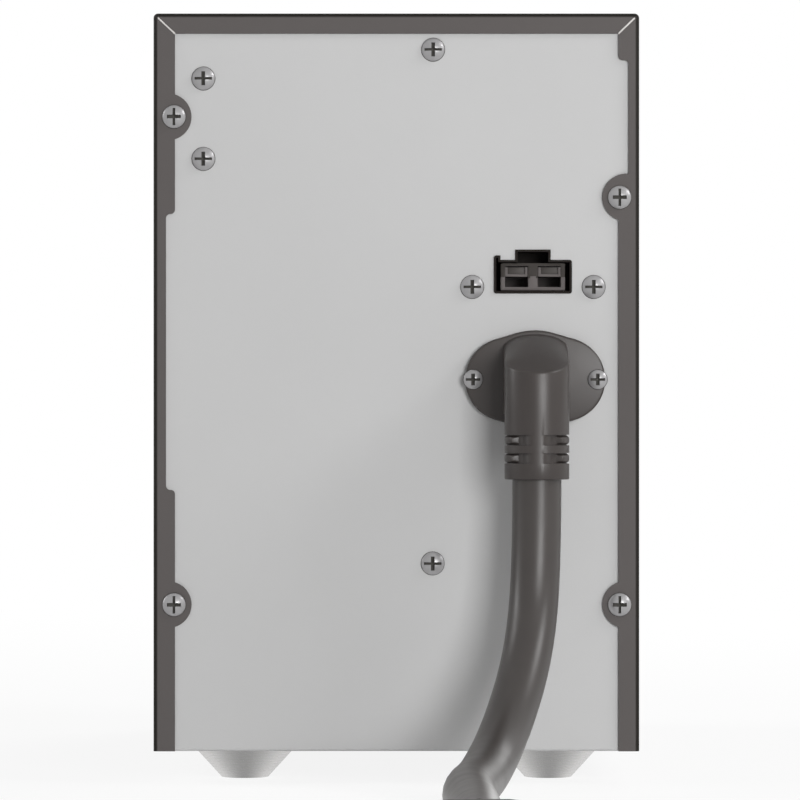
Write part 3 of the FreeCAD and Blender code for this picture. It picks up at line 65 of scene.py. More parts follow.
# Points this close to a cutting plane, in metres, lie on it
ON_PLANE = 1e-6
# A face looks along an axis when more than this share of its normal does
FACING = 0.9
# Edges that turn by more than this stay sharp
SHARP_ANGLE = math.radians(38)


def mm(value):
    """Millimetres as Blender's metres."""
    return value / 1000.0


def linear(code):
    """An sRGB hex colour as linear red, green and blue."""
    parts = [int(code[start:start + 2], 16) / 255 for start in (1, 3, 5)]
    return tuple(part / 12.92 if part <= 0.04045 else ((part + 0.055) / 1.055) ** 2.4 for part in parts)


def opaque(tint):
    """The colour with the alpha that colour sockets ask for."""
    return (*tint, 1.0)


def scale_of(size_mm):
    """Texture scale at which one cell or wave measures this many millimetres."""
    return 1000.0 / size_mm


# Places that the frame gives
PANEL_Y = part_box("chassis")[0].y
BACK_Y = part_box("cover")[0].y
CASE_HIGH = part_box("cover")[1]
ELBOW_LOW, ELBOW_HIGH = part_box("cable_elbow")
ELBOW_X = (ELBOW_LOW.x + ELBOW_HIGH.x) / 2
HOUSING_LOW, HOUSING_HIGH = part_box("socket_housing")
HOUSING_CENTRE = (HOUSING_LOW + HOUSING_HIGH) / 2
HOUSING_HALF = (HOUSING_HIGH - HOUSING_LOW) / 2
GRIP_LOW, GRIP_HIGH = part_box("plug_housing")


# Sizes and colours that a user would change

def length(label, description, size_mm):
    return FloatProperty(name=label, description=description, default=mm(size_mm), unit="LENGTH", precision=5)


def factor(label, description, value):
    return FloatProperty(name=label, description=description, default=value, min=0.0, max=1.0,
                         subtype="FACTOR")


def whole(label, description, value, least):
    return IntProperty(name=label, description=description, default=value, min=least)


def colour(label, description, code):
    return FloatVectorProperty(name=label, description=description, default=linear(code), subtype="COLOR",
                               size=3, min=0.0, max=1.0)


class ModuleSizes(bpy.types.PropertyGroup):
    """Sizes of the dressed pieces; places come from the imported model."""
    camera_distance: length("Camera Distance", "From the rear panel to the camera", 2200)
    frame_width: length("Frame Width", "Width of the picture at the rear panel", 352.4)
    camera_x: length("Camera X", "Sideways place of the camera", 1.6)
    camera_z: length("Camera Height", "Height of the camera above the floor", 169.1)
    screw_rim: length("Screw Rim", "Height of a pan head's steep rim", 0.7)
    screw_lean: length("Screw Lean", "How far the rim leans in over its height", 0.2)
    long_arm_width: length("Long Arm Width", "Width of the screw recess's long arm", 1.15)
    short_arm_width: length("Short Arm Width", "Width of the screw recess's short arm", 1.6)
    recess_depth: length("Recess Depth", "Depth of the screw recess at its middle", 2.4)
    recess_fall: factor("Recess Fall", "Share of its depth that the recess loses by the head's rim", 0.9)
    recess_taper: factor("Recess Taper", "Width of the recess's floor over that of its mouth", 0.93)
    long_arm_share: factor("Long Arm Share", "Long arm over the head's diameter", 0.72)
    short_arm_share: factor("Short Arm Share", "Short arm over the head's diameter", 0.58)
    screw_steps: whole("Screw Steps", "Segments round a screw head", 32, 12)
    screw_rings: whole("Screw Rings", "Rings of faces from a screw head's rim to its middle", 9, 3)
    flange_thick: length("Flange Thickness", "Thickness of the elbow's flange", 4.0)
    flange_edge: length("Flange Edge", "Rounding of the flange's front edge", 1.0)
    flange_end_radius: length("Flange End Radius", "Radius of the flange's two ends", 18.5)
    flange_end_spread: length("Flange End Spread", "Half the distance between the ends' centres", 12.3)
    flange_side_radius: length("Flange Side Radius", "Radius of the flange's top and bottom arcs", 28.6)
    flange_half_height: length("Flange Half Height", "From the flange's centre to its top", 21.7)
    barrel_radius: length("Barrel Radius", "Radius of the elbow's round leg", 14.1)
    hood_rise: length("Hood Rise", "Crest of the hood above the flange's centre", 20.2)
    hood_shoulder: length("Hood Shoulder", "How far the hood's shoulders fall below its crest", 6.9)
    hood_flatter: length("Hood Front Shoulder", "The same where the hood meets the round leg", 1.4)
    hood_front: length("Hood Front", "How far the hood's slope falls to its front", 17.3)
    hood_edge: length("Hood Edge", "Rounding where the hood's slope meets its sides", 0.8)
    leg_drop: length("Leg Drop", "Foot of the hood below the flange's centre", 15.0)
    groove_upper: length("Upper Groove", "Lower edge of the upper groove below the flange's centre", 28.7)
    groove_lower: length("Lower Groove", "Lower edge of the lower groove below the flange's centre", 36.6)
    groove_height: length("Groove Height", "Height of a flex groove", 4.6)
    groove_depth: length("Groove Depth", "Depth of a flex groove", 2.6)
    rib_height: length("Rib Height", "Height of the rib in a flex groove", 3.5)
    cable_diameter: length("Cable Diameter", "Outside diameter of the cable's jacket", 21.4)
    cable_length: length("Cable Length", "Length of the cable from the elbow to its plug", 402.6)
    socket_corner: length("Socket Corner", "Rounding of the housing's four long edges", 0.7)
    socket_side: length("Socket Side", "Width of the housing's side walls", 1.9)
    socket_post: length("Socket Post", "Width of the wall between the socket's bays", 4.2)
    socket_sill: length("Socket Sill", "Height of the housing's bottom wall", 1.5)
    socket_lintel: length("Socket Lintel", "Height of the housing's top wall", 1.3)
    socket_bay_depth: length("Socket Bay Depth", "Depth of the socket's bays", 21.5)
    socket_edge: length("Socket Edge", "Rounding of the edges at the socket's face", 0.2)
    rim_front: length("Rim Front", "How far the lower rim stands out of the housing", 0.35)
    rim_back: length("Rim Back", "How far the lower rim reaches into the housing", 0.6)
    rim_side_drop: length("Rim Side Drop", "From the housing's middle down to the rim's side teeth", 0.1)
    rim_post_drop: length("Rim Post Drop", "From the housing's middle down to the rim's middle tooth", 0.7)
    nib_width: length("Nib Width", "Width of the nib on the rim's middle tooth", 2.6)
    nib_top: length("Nib Top", "Top of the nib above the housing's middle", 0.3)
    tongue_pitch: length("Tongue Pitch", "Distance between the two contacts' centres", 14.6)
    tongue_width: length("Tongue Width", "Width of a contact", 10.0)
    tongue_low: length("Tongue Low", "Lower side of a contact above the housing's middle", 0.0)
    tongue_high: length("Tongue High", "Upper side of a contact above the housing's middle", 4.3)
    tongue_front: length("Tongue Front", "From the housing's face to a contact's front", 1.2)
    tongue_back: length("Tongue Back", "From the housing's face to a contact's back", 18.0)
    border_width: length("Border Width", "Width of a contact's raised border", 1.2)
    border_front: length("Border Front", "From the housing's face to the border's front", 0.3)
    border_back: length("Border Back", "From the housing's face to the border's back", 1.6)
    grip_neck_wall: length("Grip Neck Wall", "Thickness of the plug's grip where the cable enters it", 1.8)
    grip_flare: length("Grip Flare", "Length over which the grip widens", 14.0)
    grip_edge: length("Grip Edge", "Rounding of the grip's edges", 2.2)
    grip_grooves: whole("Grip Grooves", "Finger grooves on each flat side of the grip", 5, 0)
    grip_groove_start: length("Grip Groove Start", "From the grip's front to its first finger groove", 6.75)
    grip_groove_pitch: length("Grip Groove Pitch", "Distance between two finger grooves", 4.5)
    grip_groove_length: length("Grip Groove Length", "Length of a finger groove across the grip", 28.0)
    grip_groove_width: length("Grip Groove Width", "Width of a finger groove", 2.0)
    grip_groove_depth: length("Grip Groove Depth", "Depth of a finger groove", 0.8)
    plug_nose: length("Plug Nose", "How far the plug's collar stands out of its grip", 14.0)
    plug_wall: length("Plug Wall", "Thickness of the collar's cheeks", 1.6)
    plug_play: length("Plug Play", "Clearance between the collar and the socket's housing", 0.2)
    plug_edge: length("Plug Edge", "Rounding of the collar's edges", 0.4)
    plug_overlap: length("Plug Overlap", "How far the collar reaches into the grip", 1.0)
    latch_width: length("Latch Width", "Width of the plug's latch", 12.0)
    latch_top: length("Latch Top", "Upper side of the latch above the plug's middle", 10.75)
    foot_tip: length("Foot Tip", "Radius of a foot where it stands", 10.4)
    foot_edge: length("Foot Edge", "Rounding of a foot's lower edge", 0.8)
    foot_bore: length("Foot Bore", "Radius of the hole for a foot's screw", 2.8)
    foot_sink: length("Foot Counterbore", "Radius of a foot's counterbore", 6.0)
    foot_sink_depth: length("Foot Counterbore Depth", "Depth of a foot's counterbore", 7.0)
    mitre_width: length("Mitre Width", "Width of the bead in the cover's mitred corners", 0.72)
    mitre_sink: length("Mitre Sink", "How far the bead lies below the flanges' face", 0.1)
    flange_left: length("Left Flange", "Width of the cover's left flange", 9.5)
    flange_right: length("Right Flange", "Width of the cover's right flange", 9.2)
    flange_top: length("Top Flange", "Width of the cover's top flange", 9.0)
    cover_bend: length("Cover Bend", "Outside radius of the cover's bends", 2.0)
    # Painted shade: a dark line on the cover's outer bends near the rear, standing in for the bends' shading
    shade_line_core: length("Line Core", "Width of the dark line on the cover's outer bends", 1.3)
    line_width: length("Line Width", "Width of the same line with its faded side", 2.0)
    shade_line_depth: length("Line Depth", "How far forwards the dark line goes round the bend", 1.6)
    shade_line_end: length("Line End", "How far forwards the line has faded out", 2.2)


class ModuleColours(bpy.types.PropertyGroup):
    """Base colours of the finishes."""
    panel: colour("Panel", "Light grey powder coat of the rear panel", "#c1c1c1")
    cover: colour("Cover", "Dark grey powder coat of the cover", "#5c5857")
    # Painted shade: the colour of the dark line on the cover's outer bends
    cover_bend_shade: colour("Cover Edge", "Cover's outer bends", "#1f1d1a")
    plate: colour("Front Plate", "Paint of the plate behind the bezel", "#4a4848")
    bezel: colour("Bezel", "Moulded front bezel", "#2b2a2b")
    foot: colour("Foot", "Turned aluminium of the feet", "#d6d5d4")
    screw: colour("Screw", "Zinc plating of the screws", "#9a999a")
    # Painted shade: a dark zinc for the screws' recesses and the rims of their heads
    recess: colour("Recess", "Dull zinc in the screws' recesses", "#383632")
    # Painted light: a light bead that fills the mitre slits, which would otherwise lie in shade
    mitre: colour("Mitre", "Bead in the cover's mitred corners", "#d9d6d3")
    socket: colour("Socket", "Moulded shroud of the socket", "#1a1512")
    housing: colour("Housing", "Moulded housing of the socket", "#373330")
    # Painted light: a lighter copy of the housing's nylon, for the lower rim, the bays and the contacts'
    # borders
    rim: colour("Rim", "Lower rim of the socket's housing", "#605b5a")
    contact: colour("Contact", "Tinned contacts", "#2f2a27")
    flange: colour("Elbow", "Moulded rubber of the elbow", "#393432")
    jacket: colour("Jacket", "Cable jacket", "#3f3b39")
    grip: colour("Plug Grip", "Moulded grip of the plug", "#34312f")
    zinc: colour("Zinc", "Zinc-plated brackets and rack", "#b4b6b8")
    insulator: colour("Insulator", "Insulating sheets", "#e4e1d6")
    foam: colour("Foam", "Foam pads", "#222224")
    block: colour("Block", "Battery cases", "#35383d")
    board: colour("Board", "Circuit board", "#1f6b3a")
    ceramic: colour("Ceramic", "Fuse bodies", "#e6e0d2")
    red: colour("Positive", "Positive leads", "#b01818")
    black: colour("Negative", "Negative leads", "#1c1c1e")


def sizes():
    """The sizes as they stand in the scene."""
    return bpy.context.scene.module_sizes


def colours():
    """The colours as they stand in the scene."""
    return bpy.context.scene.module_colours


# Finishes

def add(tree, kind, sockets=None, **settings):
    """Add a node; sockets maps an input to a value or to the output that feeds it."""
    made = tree.nodes.new("ShaderNode" + kind)
    for name, value in settings.items():
        setattr(made, name, value)
    for name, value in (sockets or {}).items():
        if isinstance(value, bpy.types.NodeSocket):
            tree.links.new(value, made.inputs[name])
        else:
            made.inputs[name].default_value = value
    return made


def start(name, **surface):
    """A material with one principled shader; returns it, its tree and the shader."""
    made = bpy.data.materials.new(name)
    made.use_nodes = True
    shader = made.node_tree.nodes["Principled BSDF"]
    for socket, value in surface.items():
        shader.inputs[socket.replace("_", " ").title().replace("Ior", "IOR")].default_value = value
    return made, made.node_tree, shader


def vary(tree, shader, base, driver, low, high):
    """Let a texture's value shift the base colour between two brightness factors."""
    ramp = add(tree, "ValToRGB", {"Fac": driver})
    ramp.color_ramp.elements[0].color = opaque([part * low for part in base])
    ramp.color_ramp.elements[1].color = opaque([min(1.0, part * high) for part in base])
    tree.links.new(ramp.outputs["Color"], shader.inputs["Base Color"])
    return ramp


def roughen(tree, shader, driver, low, high):
    """Let a texture's value move the roughness between two levels."""
    spread = add(tree, "MapRange", {"Value": driver, "To Min": low, "To Max": high})
    tree.links.new(spread.outputs["Result"], shader.inputs["Roughness"])


def relief(tree, shader, driver, depth_mm, strength):
    """Let a texture's value raise the surface by up to this many millimetres."""
    bump = add(tree, "Bump", {"Height": driver, "Distance": mm(depth_mm), "Strength": strength})
    tree.links.new(bump.outputs["Normal"], shader.inputs["Normal"])


def powder_coat(name, base, grain_mm=1.1):
    """Polyester powder coat on steel: an even, slightly pebbled satin film."""
    made, tree, shader = start(name, specular_ior_level=0.2)
    place = add(tree, "TexCoord").outputs["Object"]
    # The real orange peel is about 0.5 mm, drawn coarser so that it shows
    pebble = add(tree, "TexNoise", {"Vector": place, "Scale": scale_of(grain_mm), "Detail": 2.0})
    cloud = add(tree, "TexNoise", {"Vector": place, "Scale": scale_of(90), "Detail": 3.0})
    vary(tree, shader, base, cloud.outputs["Fac"], 0.97, 1.03)
    roughen(tree, shader, pebble.outputs["Fac"], 0.42, 0.58)
    relief(tree, shader, pebble.outputs["Fac"], 0.03, 0.7)
    return made


def cover_coat():
    """The same coat in dark grey, with painted shade: a thin dark line along the rear's outer bends."""
    size = sizes()
    made, tree, shader = start("powder_coated_steel_dark", specular_ior_level=0.1)
    place = add(tree, "TexCoord").outputs["Object"]
    pebble = add(tree, "TexNoise", {"Vector": place, "Scale": scale_of(1.1), "Detail": 2.0})
    cloud = add(tree, "TexNoise", {"Vector": place, "Scale": scale_of(120), "Detail": 3.0})
    base = colours().cover
    film = vary(tree, shader, base, cloud.outputs["Fac"], 0.96, 1.04)
    # Painted shade: the coat turns dark within a thin line along the outer bends near the rear
    axes = add(tree, "SeparateXYZ", {"Vector": place})
    sideways = add(tree, "Math", {0: axes.outputs["X"]}, operation="ABSOLUTE")
    side_shade = add(tree, "MapRange", {"Value": sideways.outputs[0],
                                       "From Min": CASE_HIGH.x - size.line_width,
                                       "From Max": CASE_HIGH.x - size.shade_line_core})
    top_shade = add(tree, "MapRange", {"Value": axes.outputs["Z"],
                                      "From Min": CASE_HIGH.z - size.line_width,
                                      "From Max": CASE_HIGH.z - size.shade_line_core})
    outer = add(tree, "Math", {0: side_shade.outputs[0], 1: top_shade.outputs[0]}, operation="MAXIMUM")
    rear = add(tree, "MapRange", {"Value": axes.outputs["Y"], "From Min": BACK_Y + size.shade_line_depth,
                                  "From Max": BACK_Y + size.shade_line_end, "To Min": 1.0, "To Max": 0.0})
    line = add(tree, "Math", {0: outer.outputs[0], 1: rear.outputs[0]}, operation="MULTIPLY")
    shaded_coat = add(tree, "Mix", {"Factor": line.outputs[0], "A": film.outputs["Color"],
                              "B": opaque(colours().cover_bend_shade)}, data_type="RGBA")
    tree.links.new(shaded_coat.outputs[2], shader.inputs["Base Color"])
    roughen(tree, shader, pebble.outputs["Fac"], 0.45, 0.6)
    relief(tree, shader, pebble.outputs["Fac"], 0.04, 0.7)
    return made


def moulded_plastic(name, base, grain_mm=0.8, rough=0.5, level=0.3):
    """Injection-moulded plastic with a spark-eroded grain, which spreads its reflections."""
    made, tree, shader = start(name, specular_ior_level=level)
    place = add(tree, "TexCoord").outputs["Object"]
    # A real eroded grain is about 0.1 mm, drawn coarser so that it shows
    grain = add(tree, "TexNoise", {"Vector": place, "Scale": scale_of(grain_mm), "Detail": 4.0})
    flow = add(tree, "TexNoise", {"Vector": place, "Scale": scale_of(40), "Detail": 2.0})
    vary(tree, shader, base, flow.outputs["Fac"], 0.92, 1.08)
    roughen(tree, shader, grain.outputs["Fac"], rough - 0.07, rough + 0.08)
    relief(tree, shader, grain.outputs["Fac"], 0.03, 0.4)
    return made


def moulded_rubber(name, base):
    """Moulded PVC rubber: smooth satin with a faint bloom, so a soft bright line runs along round parts."""
    made, tree, shader = start(name, specular_ior_level=0.35)
    place = add(tree, "TexCoord").outputs["Object"]
    bloom = add(tree, "TexNoise", {"Vector": place, "Scale": scale_of(12), "Detail": 5.0})
    # The skin's grain of about 0.1 mm is drawn at 0.7 mm so that it shows
    skin = add(tree, "TexNoise", {"Vector": place, "Scale": scale_of(0.7), "Detail": 2.0})
    vary(tree, shader, base, bloom.outputs["Fac"], 0.93, 1.07)
    roughen(tree, shader, bloom.outputs["Fac"], 0.29, 0.42)
    relief(tree, shader, skin.outputs["Fac"], 0.01, 0.35)
    return made


def turned_aluminium_painted_sheen():
    """Aluminium faced on a lathe, with fine rings, and painted sheen: light and dark bands round the foot
    that stand in for its reflections.
    """
    made, tree, shader = start("turned_aluminium_painted_sheen", metallic=0.9, anisotropic=0.6)
    place = add(tree, "TexCoord")
    sheen_bands = 3
    # Tool marks of 0.2 mm are drawn at 0.7 mm so that they show
    rings = add(tree, "TexWave", {"Vector": place.outputs["Object"], "Scale": scale_of(0.7) / math.tau,
                                  "Distortion": 0.4, "Detail": 2.0}, bands_direction="Z")
    turn = add(tree, "SeparateXYZ", {"Vector": place.outputs["UV"]})
    # Painted sheen: the base colour swings from light to dark and back three times round the foot
    angle = add(tree, "Math", {0: turn.outputs["X"], 1: sheen_bands * math.tau}, operation="MULTIPLY")
    painted_sheen = add(tree, "Math", {0: angle.outputs[0]}, operation="COSINE")
    bright = add(tree, "MapRange", {"Value": painted_sheen.outputs[0], "From Min": 1.0, "From Max": -1.0})
    vary(tree, shader, colours().foot, bright.outputs[0], 0.5, 1.0)
    roughen(tree, shader, rings.outputs["Fac"], 0.26, 0.36)
    relief(tree, shader, rings.outputs["Fac"], 0.01, 0.5)
    round_z = add(tree, "Tangent", direction_type="RADIAL", axis="Z")
    tree.links.new(round_z.outputs["Tangent"], shader.inputs["Tangent"])
    return made


def plated_steel(name, base, metallic, rough, cell_mm=3.0):
    """Zinc or tin plating: a metal whose fine crystals cloud the reflections."""
    made, tree, shader = start(name, metallic=metallic)
    place = add(tree, "TexCoord").outputs["Object"]
    crystals = add(tree, "TexVoronoi", {"Vector": place, "Scale": scale_of(cell_mm)})
    haze = add(tree, "TexNoise", {"Vector": place, "Scale": scale_of(8), "Detail": 4.0})
    vary(tree, shader, base, crystals.outputs["Distance"], 0.94, 1.05)
    roughen(tree, shader, haze.outputs["Fac"], rough - 0.06, rough + 0.1)
    return made


def closed_cell_foam():
    """Closed-cell foam: matt, with a pitted skin of fine cells."""
    made, tree, shader = start("closed_cell_foam", specular_ior_level=0.15)
    place = add(tree, "TexCoord").outputs["Object"]
    # Cells of about 0.5 mm are drawn at 1.2 mm so that they show
    cells = add(tree, "TexVoronoi", {"Vector": place, "Scale": scale_of(1.2)})
    vary(tree, shader, colours().foam, cells.outputs["Distance"], 0.75, 1.25)
    roughen(tree, shader, cells.outputs["Distance"], 0.85, 0.98)
    relief(tree, shader, cells.outputs["Distance"], 0.2, 0.6)
    return made


def glass_laminate():
    """Epoxy glass laminate: the cloth's square weave shows faintly through the green mask."""
    made, tree, shader = start("glass_laminate", specular_ior_level=0.5)
    place = add(tree, "TexCoord").outputs["Object"]
    # Threads about 0.5 mm apart are drawn 1 mm apart so that they show
    warp = add(tree, "TexWave", {"Vector": place, "Scale": scale_of(1.0) / math.tau}, bands_direction="Y")
    weft = add(tree, "TexWave", {"Vector": place, "Scale": scale_of(1.0) / math.tau}, bands_direction="Z")
    cloth = add(tree, "Math", {0: warp.outputs["Fac"], 1: weft.outputs["Fac"]}, operation="MULTIPLY")
    vary(tree, shader, colours().board, cloth.outputs[0], 0.85, 1.15)
    roughen(tree, shader, cloth.outputs[0], 0.25, 0.35)
    relief(tree, shader, cloth.outputs[0], 0.02, 0.3)
    return made


def glazed_ceramic():
    """Glazed ceramic: off-white body under a glossy clear glaze."""
    made, tree, shader = start("glazed_ceramic", coat_weight=0.6, coat_roughness=0.08)
    place = add(tree, "TexCoord").outputs["Object"]
    speck = add(tree, "TexNoise", {"Vector": place, "Scale": scale_of(2.5), "Detail": 4.0})
    vary(tree, shader, colours().ceramic, speck.outputs["Fac"], 0.93, 1.03)
    roughen(tree, shader, speck.outputs["Fac"], 0.3, 0.45)
    return made


def finishes():
    """Every finish, by the record's material slot or by the name of the detail that it is for."""
    tint = colours()
    return {
        "panel_paint": powder_coat("powder_coated_steel_light", tint.panel),
        "cover_paint": cover_coat(),
        "plate_paint": powder_coat("painted_steel_plate", tint.plate, grain_mm=1.6),
        "bezel_plastic": moulded_plastic("textured_abs_black", tint.bezel, grain_mm=1.2, rough=0.55,
                                         level=0.15),
        "foot_metal": turned_aluminium_painted_sheen(),
        "screw_metal": plated_steel("bright_zinc_plate", tint.screw, metallic=0.28, rough=0.3),
        # Painted shade for the screws' recesses and a painted shadow line round their heads
        "recess": plated_steel("dull_zinc_recess", tint.recess, metallic=0.3, rough=0.6),
        # Painted light in the cover's mitre slits
        "mitre": powder_coat("mitre_painted_light", tint.mitre),
        "socket_plastic": moulded_plastic("moulded_abs_black", tint.socket, rough=0.6, level=0.12),
        "contact_metal": plated_steel("tinned_copper", tint.contact, metallic=0.3, rough=0.5, cell_mm=2.0),
        "elbow_rubber": moulded_rubber("moulded_pvc_elbow", tint.flange),
        "cable_jacket": moulded_rubber("extruded_pvc_jacket", tint.jacket),
        "rack_steel": plated_steel("galvanised_steel", tint.zinc, metallic=0.85, rough=0.38, cell_mm=9.0),
        "insulator": moulded_plastic("polypropylene_sheet", tint.insulator, grain_mm=3.0, rough=0.4),
        "foam": closed_cell_foam(),
        "block_plastic": moulded_plastic("battery_abs_case", tint.block, grain_mm=1.4),
        "board": glass_laminate(),
        "fuse_ceramic": glazed_ceramic(),
        "lead_red": moulded_rubber("silicone_lead_red", tint.red),
        "lead_black": moulded_rubber("silicone_lead_black", tint.black),
        "housing": moulded_plastic("moulded_nylon_housing", tint.housing, rough=0.6, level=0.2),
        # Painted light: the housing's nylon made lighter
        "rim": moulded_plastic("moulded_nylon_rim", tint.rim, rough=0.6, level=0.2),
        "grip": moulded_plastic("moulded_pvc_grip", tint.grip),
    }


# Modelling helpers

def everything(bm):
    return bm.verts[:] + bm.edges[:] + bm.faces[:]


def dress(name, bm, finish, nodes=()):
    """Make the mesh a piece that rides on the module and stands for its CAD nodes.

    finish names one material, or more in the order of the faces' material numbers.
    """
    bmesh.ops.remove_doubles(bm, verts=bm.verts[:], dist=NEAR)
    bmesh.ops.recalc_face_normals(bm, faces=bm.faces[:])
    mesh = bpy.data.meshes.new(name)
    bm.to_mesh(mesh)
    bm.free()
    for material in finish.split():
        mesh.materials.append(bpy.data.materials[material])
    mesh.shade_smooth()
    mesh.set_sharp_from_angle(angle=SHARP_ANGLE)
    piece = bpy.data.objects.new(name, mesh)
    bpy.context.scene.collection.objects.link(piece)
    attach(piece, ALL)
    if nodes:
        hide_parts(*nodes)
    return piece


def revolve(bm, points, centre, axis, steps):
    """Spin a profile of (radius, height) points round an axis through the centre."""
    along = Vector(axis)
    across = Vector((1, 0, 0))
    verts = [bm.verts.new(Vector(centre) + across * radius + along * height) for radius, height in points]
    edges = [bm.edges.new(pair) for pair in zip(verts, verts[1:])]
    bmesh.ops.spin(bm, geom=verts + edges, cent=centre, axis=along, angle=math.tau, steps=steps,
                   use_merge=True, use_duplicate=False)
    bmesh.ops.remove_doubles(bm, verts=bm.verts[:], dist=NEAR)


def soften(bm, edges, width, segments=2):
    """Round the edges over by this width."""
    bmesh.ops.bevel(bm, geom=edges, offset=width, offset_type="OFFSET", segments=segments, profile=0.5,
                    affect="EDGES", material=-1, clamp_overlap=True)


def bar(bm, low, high, edge):
    """A block between two corners, with its edges rounded."""
    low, high = Vector(low), Vector(high)
    place = Matrix.Translation((low + high) / 2) @ Matrix.Diagonal((*(high - low), 1.0))
    made = bmesh.ops.create_cube(bm, size=1.0, matrix=place)["verts"]
    soften(bm, list(dict.fromkeys(side for vert in made for side in vert.link_edges)), edge)


def mirrored(half):
    """A closed outline from the corners of its right half."""
    return half + [(-across, other) for across, other in reversed(half)]


def plate(bm, outline, back_y, front_y, edge, finish=0):
    """A flat shape drawn through (x, z) corners, given its thickness, with its front edges rounded."""
    floor = bm.faces.new([bm.verts.new((x, back_y, z)) for x, z in outline])
    floor.material_index = finish
    grown = bmesh.ops.extrude_face_region(bm, geom=[floor], use_keep_orig=True)["geom"]
    front = [item for item in grown if isinstance(item, bmesh.types.BMVert)]
    bmesh.ops.translate(bm, verts=front, vec=(0, front_y - back_y, 0))
    soften(bm, [item for item in grown if isinstance(item, bmesh.types.BMEdge)], edge)


def slice_across(bm, normal, levels):
    """Cut the mesh through with parallel planes, so that it can be bent or sunk between them."""
    for level in levels:
        bmesh.ops.bisect_plane(bm, geom=everything(bm), dist=ON_PLANE, plane_co=Vector(normal) * level,
                               plane_no=normal)


def sink_faces(bm, faces, move, finish):
    """Push a patch of faces inwards by a function of each point; it and its walls get this finish."""
    before = set(bm.faces)
    grown = bmesh.ops.extrude_face_region(bm, geom=faces)
    for vert in [item for item in grown["geom"] if isinstance(item, bmesh.types.BMVert)]:
        vert.co = move(vert.co)
    bmesh.ops.delete(bm, geom=[face for face in faces if face.is_valid], context="FACES")
    for face in bm.faces:
        if face not in before:
            face.material_index = finish


def append(bm, part):
    """Move a finished shell into a bigger mesh."""
    bmesh.ops.recalc_face_normals(part, faces=part.faces[:])
    spare = bpy.data.meshes.new("shell")
    part.to_mesh(spare)
    part.free()
    bm.from_mesh(spare)
    bpy.data.meshes.remove(spare)


def eased(value, low, high):
    """0 below the low value, 1 above the high one, and a smooth S between them."""
    share = min(1.0, max(0.0, (value - low) / (high - low)))
    return share * share * (3 - 2 * share)


# Screws

def pan_screw(bm, centre, seat_y, radius, height, upright):
    """A domed pan head whose cross recess is deepest in the middle; its long arm may stand upright."""
    size = sizes()
    rise = height - size.screw_rim
    brow = radius - size.screw_lean
    dome = (brow ** 2 + rise ** 2) / (2 * rise)
    half = math.asin(brow / dome)
    turns = [half * (1 - ring / size.screw_rings) for ring in range(size.screw_rings + 1)]
    crown = [(dome * math.sin(turn), height - dome * (1 - math.cos(turn))) for turn in turns]
    head = bmesh.new()
    revolve(head, [(radius, 0.0), *crown], (0, 0, 0), (0, -1, 0), size.screw_steps)
    long_arm = (size.long_arm_share * radius, size.long_arm_width / 2)
    short_arm = (size.short_arm_width / 2, size.short_arm_share * radius)
    if upright:
        long_arm, short_arm = long_arm[::-1], short_arm[::-1]
    for arm in (long_arm, short_arm):
        for axis, reach in (((1, 0, 0), arm[0]), ((0, 0, 1), arm[1])):
            slice_across(head, axis, [-reach, reach])
    pressed = []
    for face in head.faces:
        middle = face.calc_center_median()
        inside = any(abs(middle.x) < wide and abs(middle.z) < tall for wide, tall in (long_arm, short_arm))
        if inside and middle.y < -size.screw_rim:
            pressed.append(face)

    def push(spot):
        share = math.hypot(spot.x, spot.z) / radius
        depth = size.recess_depth * (1 - size.recess_fall * share)
        return Vector((spot.x * size.recess_taper, spot.y + depth, spot.z * size.recess_taper))

    # Finish 1, the dark zinc, is painted shade in the recess and a painted shadow line round the head's steep
    # rim
    sink_faces(head, pressed, push, 1)
    for face in head.faces:
        if face.calc_center_median().y > -size.screw_rim:
            face.material_index = 1
    bmesh.ops.translate(head, verts=head.verts[:], vec=(centre[0], seat_y, centre[1]))
    append(bm, head)


def screw_groups():
    """Each screw node with its heads' centres and radii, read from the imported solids."""
    found = {}
    for name in ("cover_screws", "panel_screws", "board_screws", "socket_screws", "elbow_screws"):
        solid = bmesh.new()
        solid.from_mesh(frame["nodes"][name].data)
        bmesh.ops.remove_doubles(solid, verts=solid.verts[:], dist=NEAR)
        islands = []
        left = set(solid.verts)
        while left:
            island, front = set(), [left.pop()]
            while front:
                vert = front.pop()
                island.add(vert)
                for side in vert.link_edges:
                    other = side.other_vert(vert)
                    if other in left:
                        left.remove(other)
                        front.append(other)
            islands.append(island)
        heads = []
        for island in islands:
            xs = [vert.co.x for vert in island]
            zs = [vert.co.z for vert in island]
            heads.append(((min(xs) + max(xs)) / 2, (min(zs) + max(zs)) / 2, (max(xs) - min(xs)) / 2))
        found[name] = sorted(heads)
        solid.free()
    return found


class MODULE_OT_screws(bpy.types.Operator):
    """Pan-head screws of the cover, panel, fuse bracket, socket and elbow"""
    bl_idname = "module.screws"
    bl_label = "Screws"

    def execute(self, context):
        for name, heads in screw_groups().items():
            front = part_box(name)[0].y
            if name == "cover_screws":
                seat = BACK_Y
            elif name == "elbow_screws":
                seat = PANEL_Y - sizes().flange_thick
            else:
                seat = PANEL_Y
            bm = bmesh.new()
            for x, z, radius in heads:
                pan_screw(bm, (x, z), seat, radius, seat - front, name == "cover_screws")
            dress(name + "_heads", bm, "bright_zinc_plate dull_zinc_recess", [name])
        return {"FINISHED"}


# Elbow

# Steps of the flange's arcs, the hood's round front and the round leg
FLANGE_STEP = math.radians(4)
HOOD_STEPS = 72
LEG_STEPS = 144
# The hood's top follows its curve on rings, spaced from its rim in millimetres, and on cuts both ways
HOOD_RINGS = (0.08, 0.12, 0.2, 0.2, 0.2)
HOOD_CUTS_ACROSS = mm(1.2)
HOOD_CUTS_ALONG = mm(3.0)
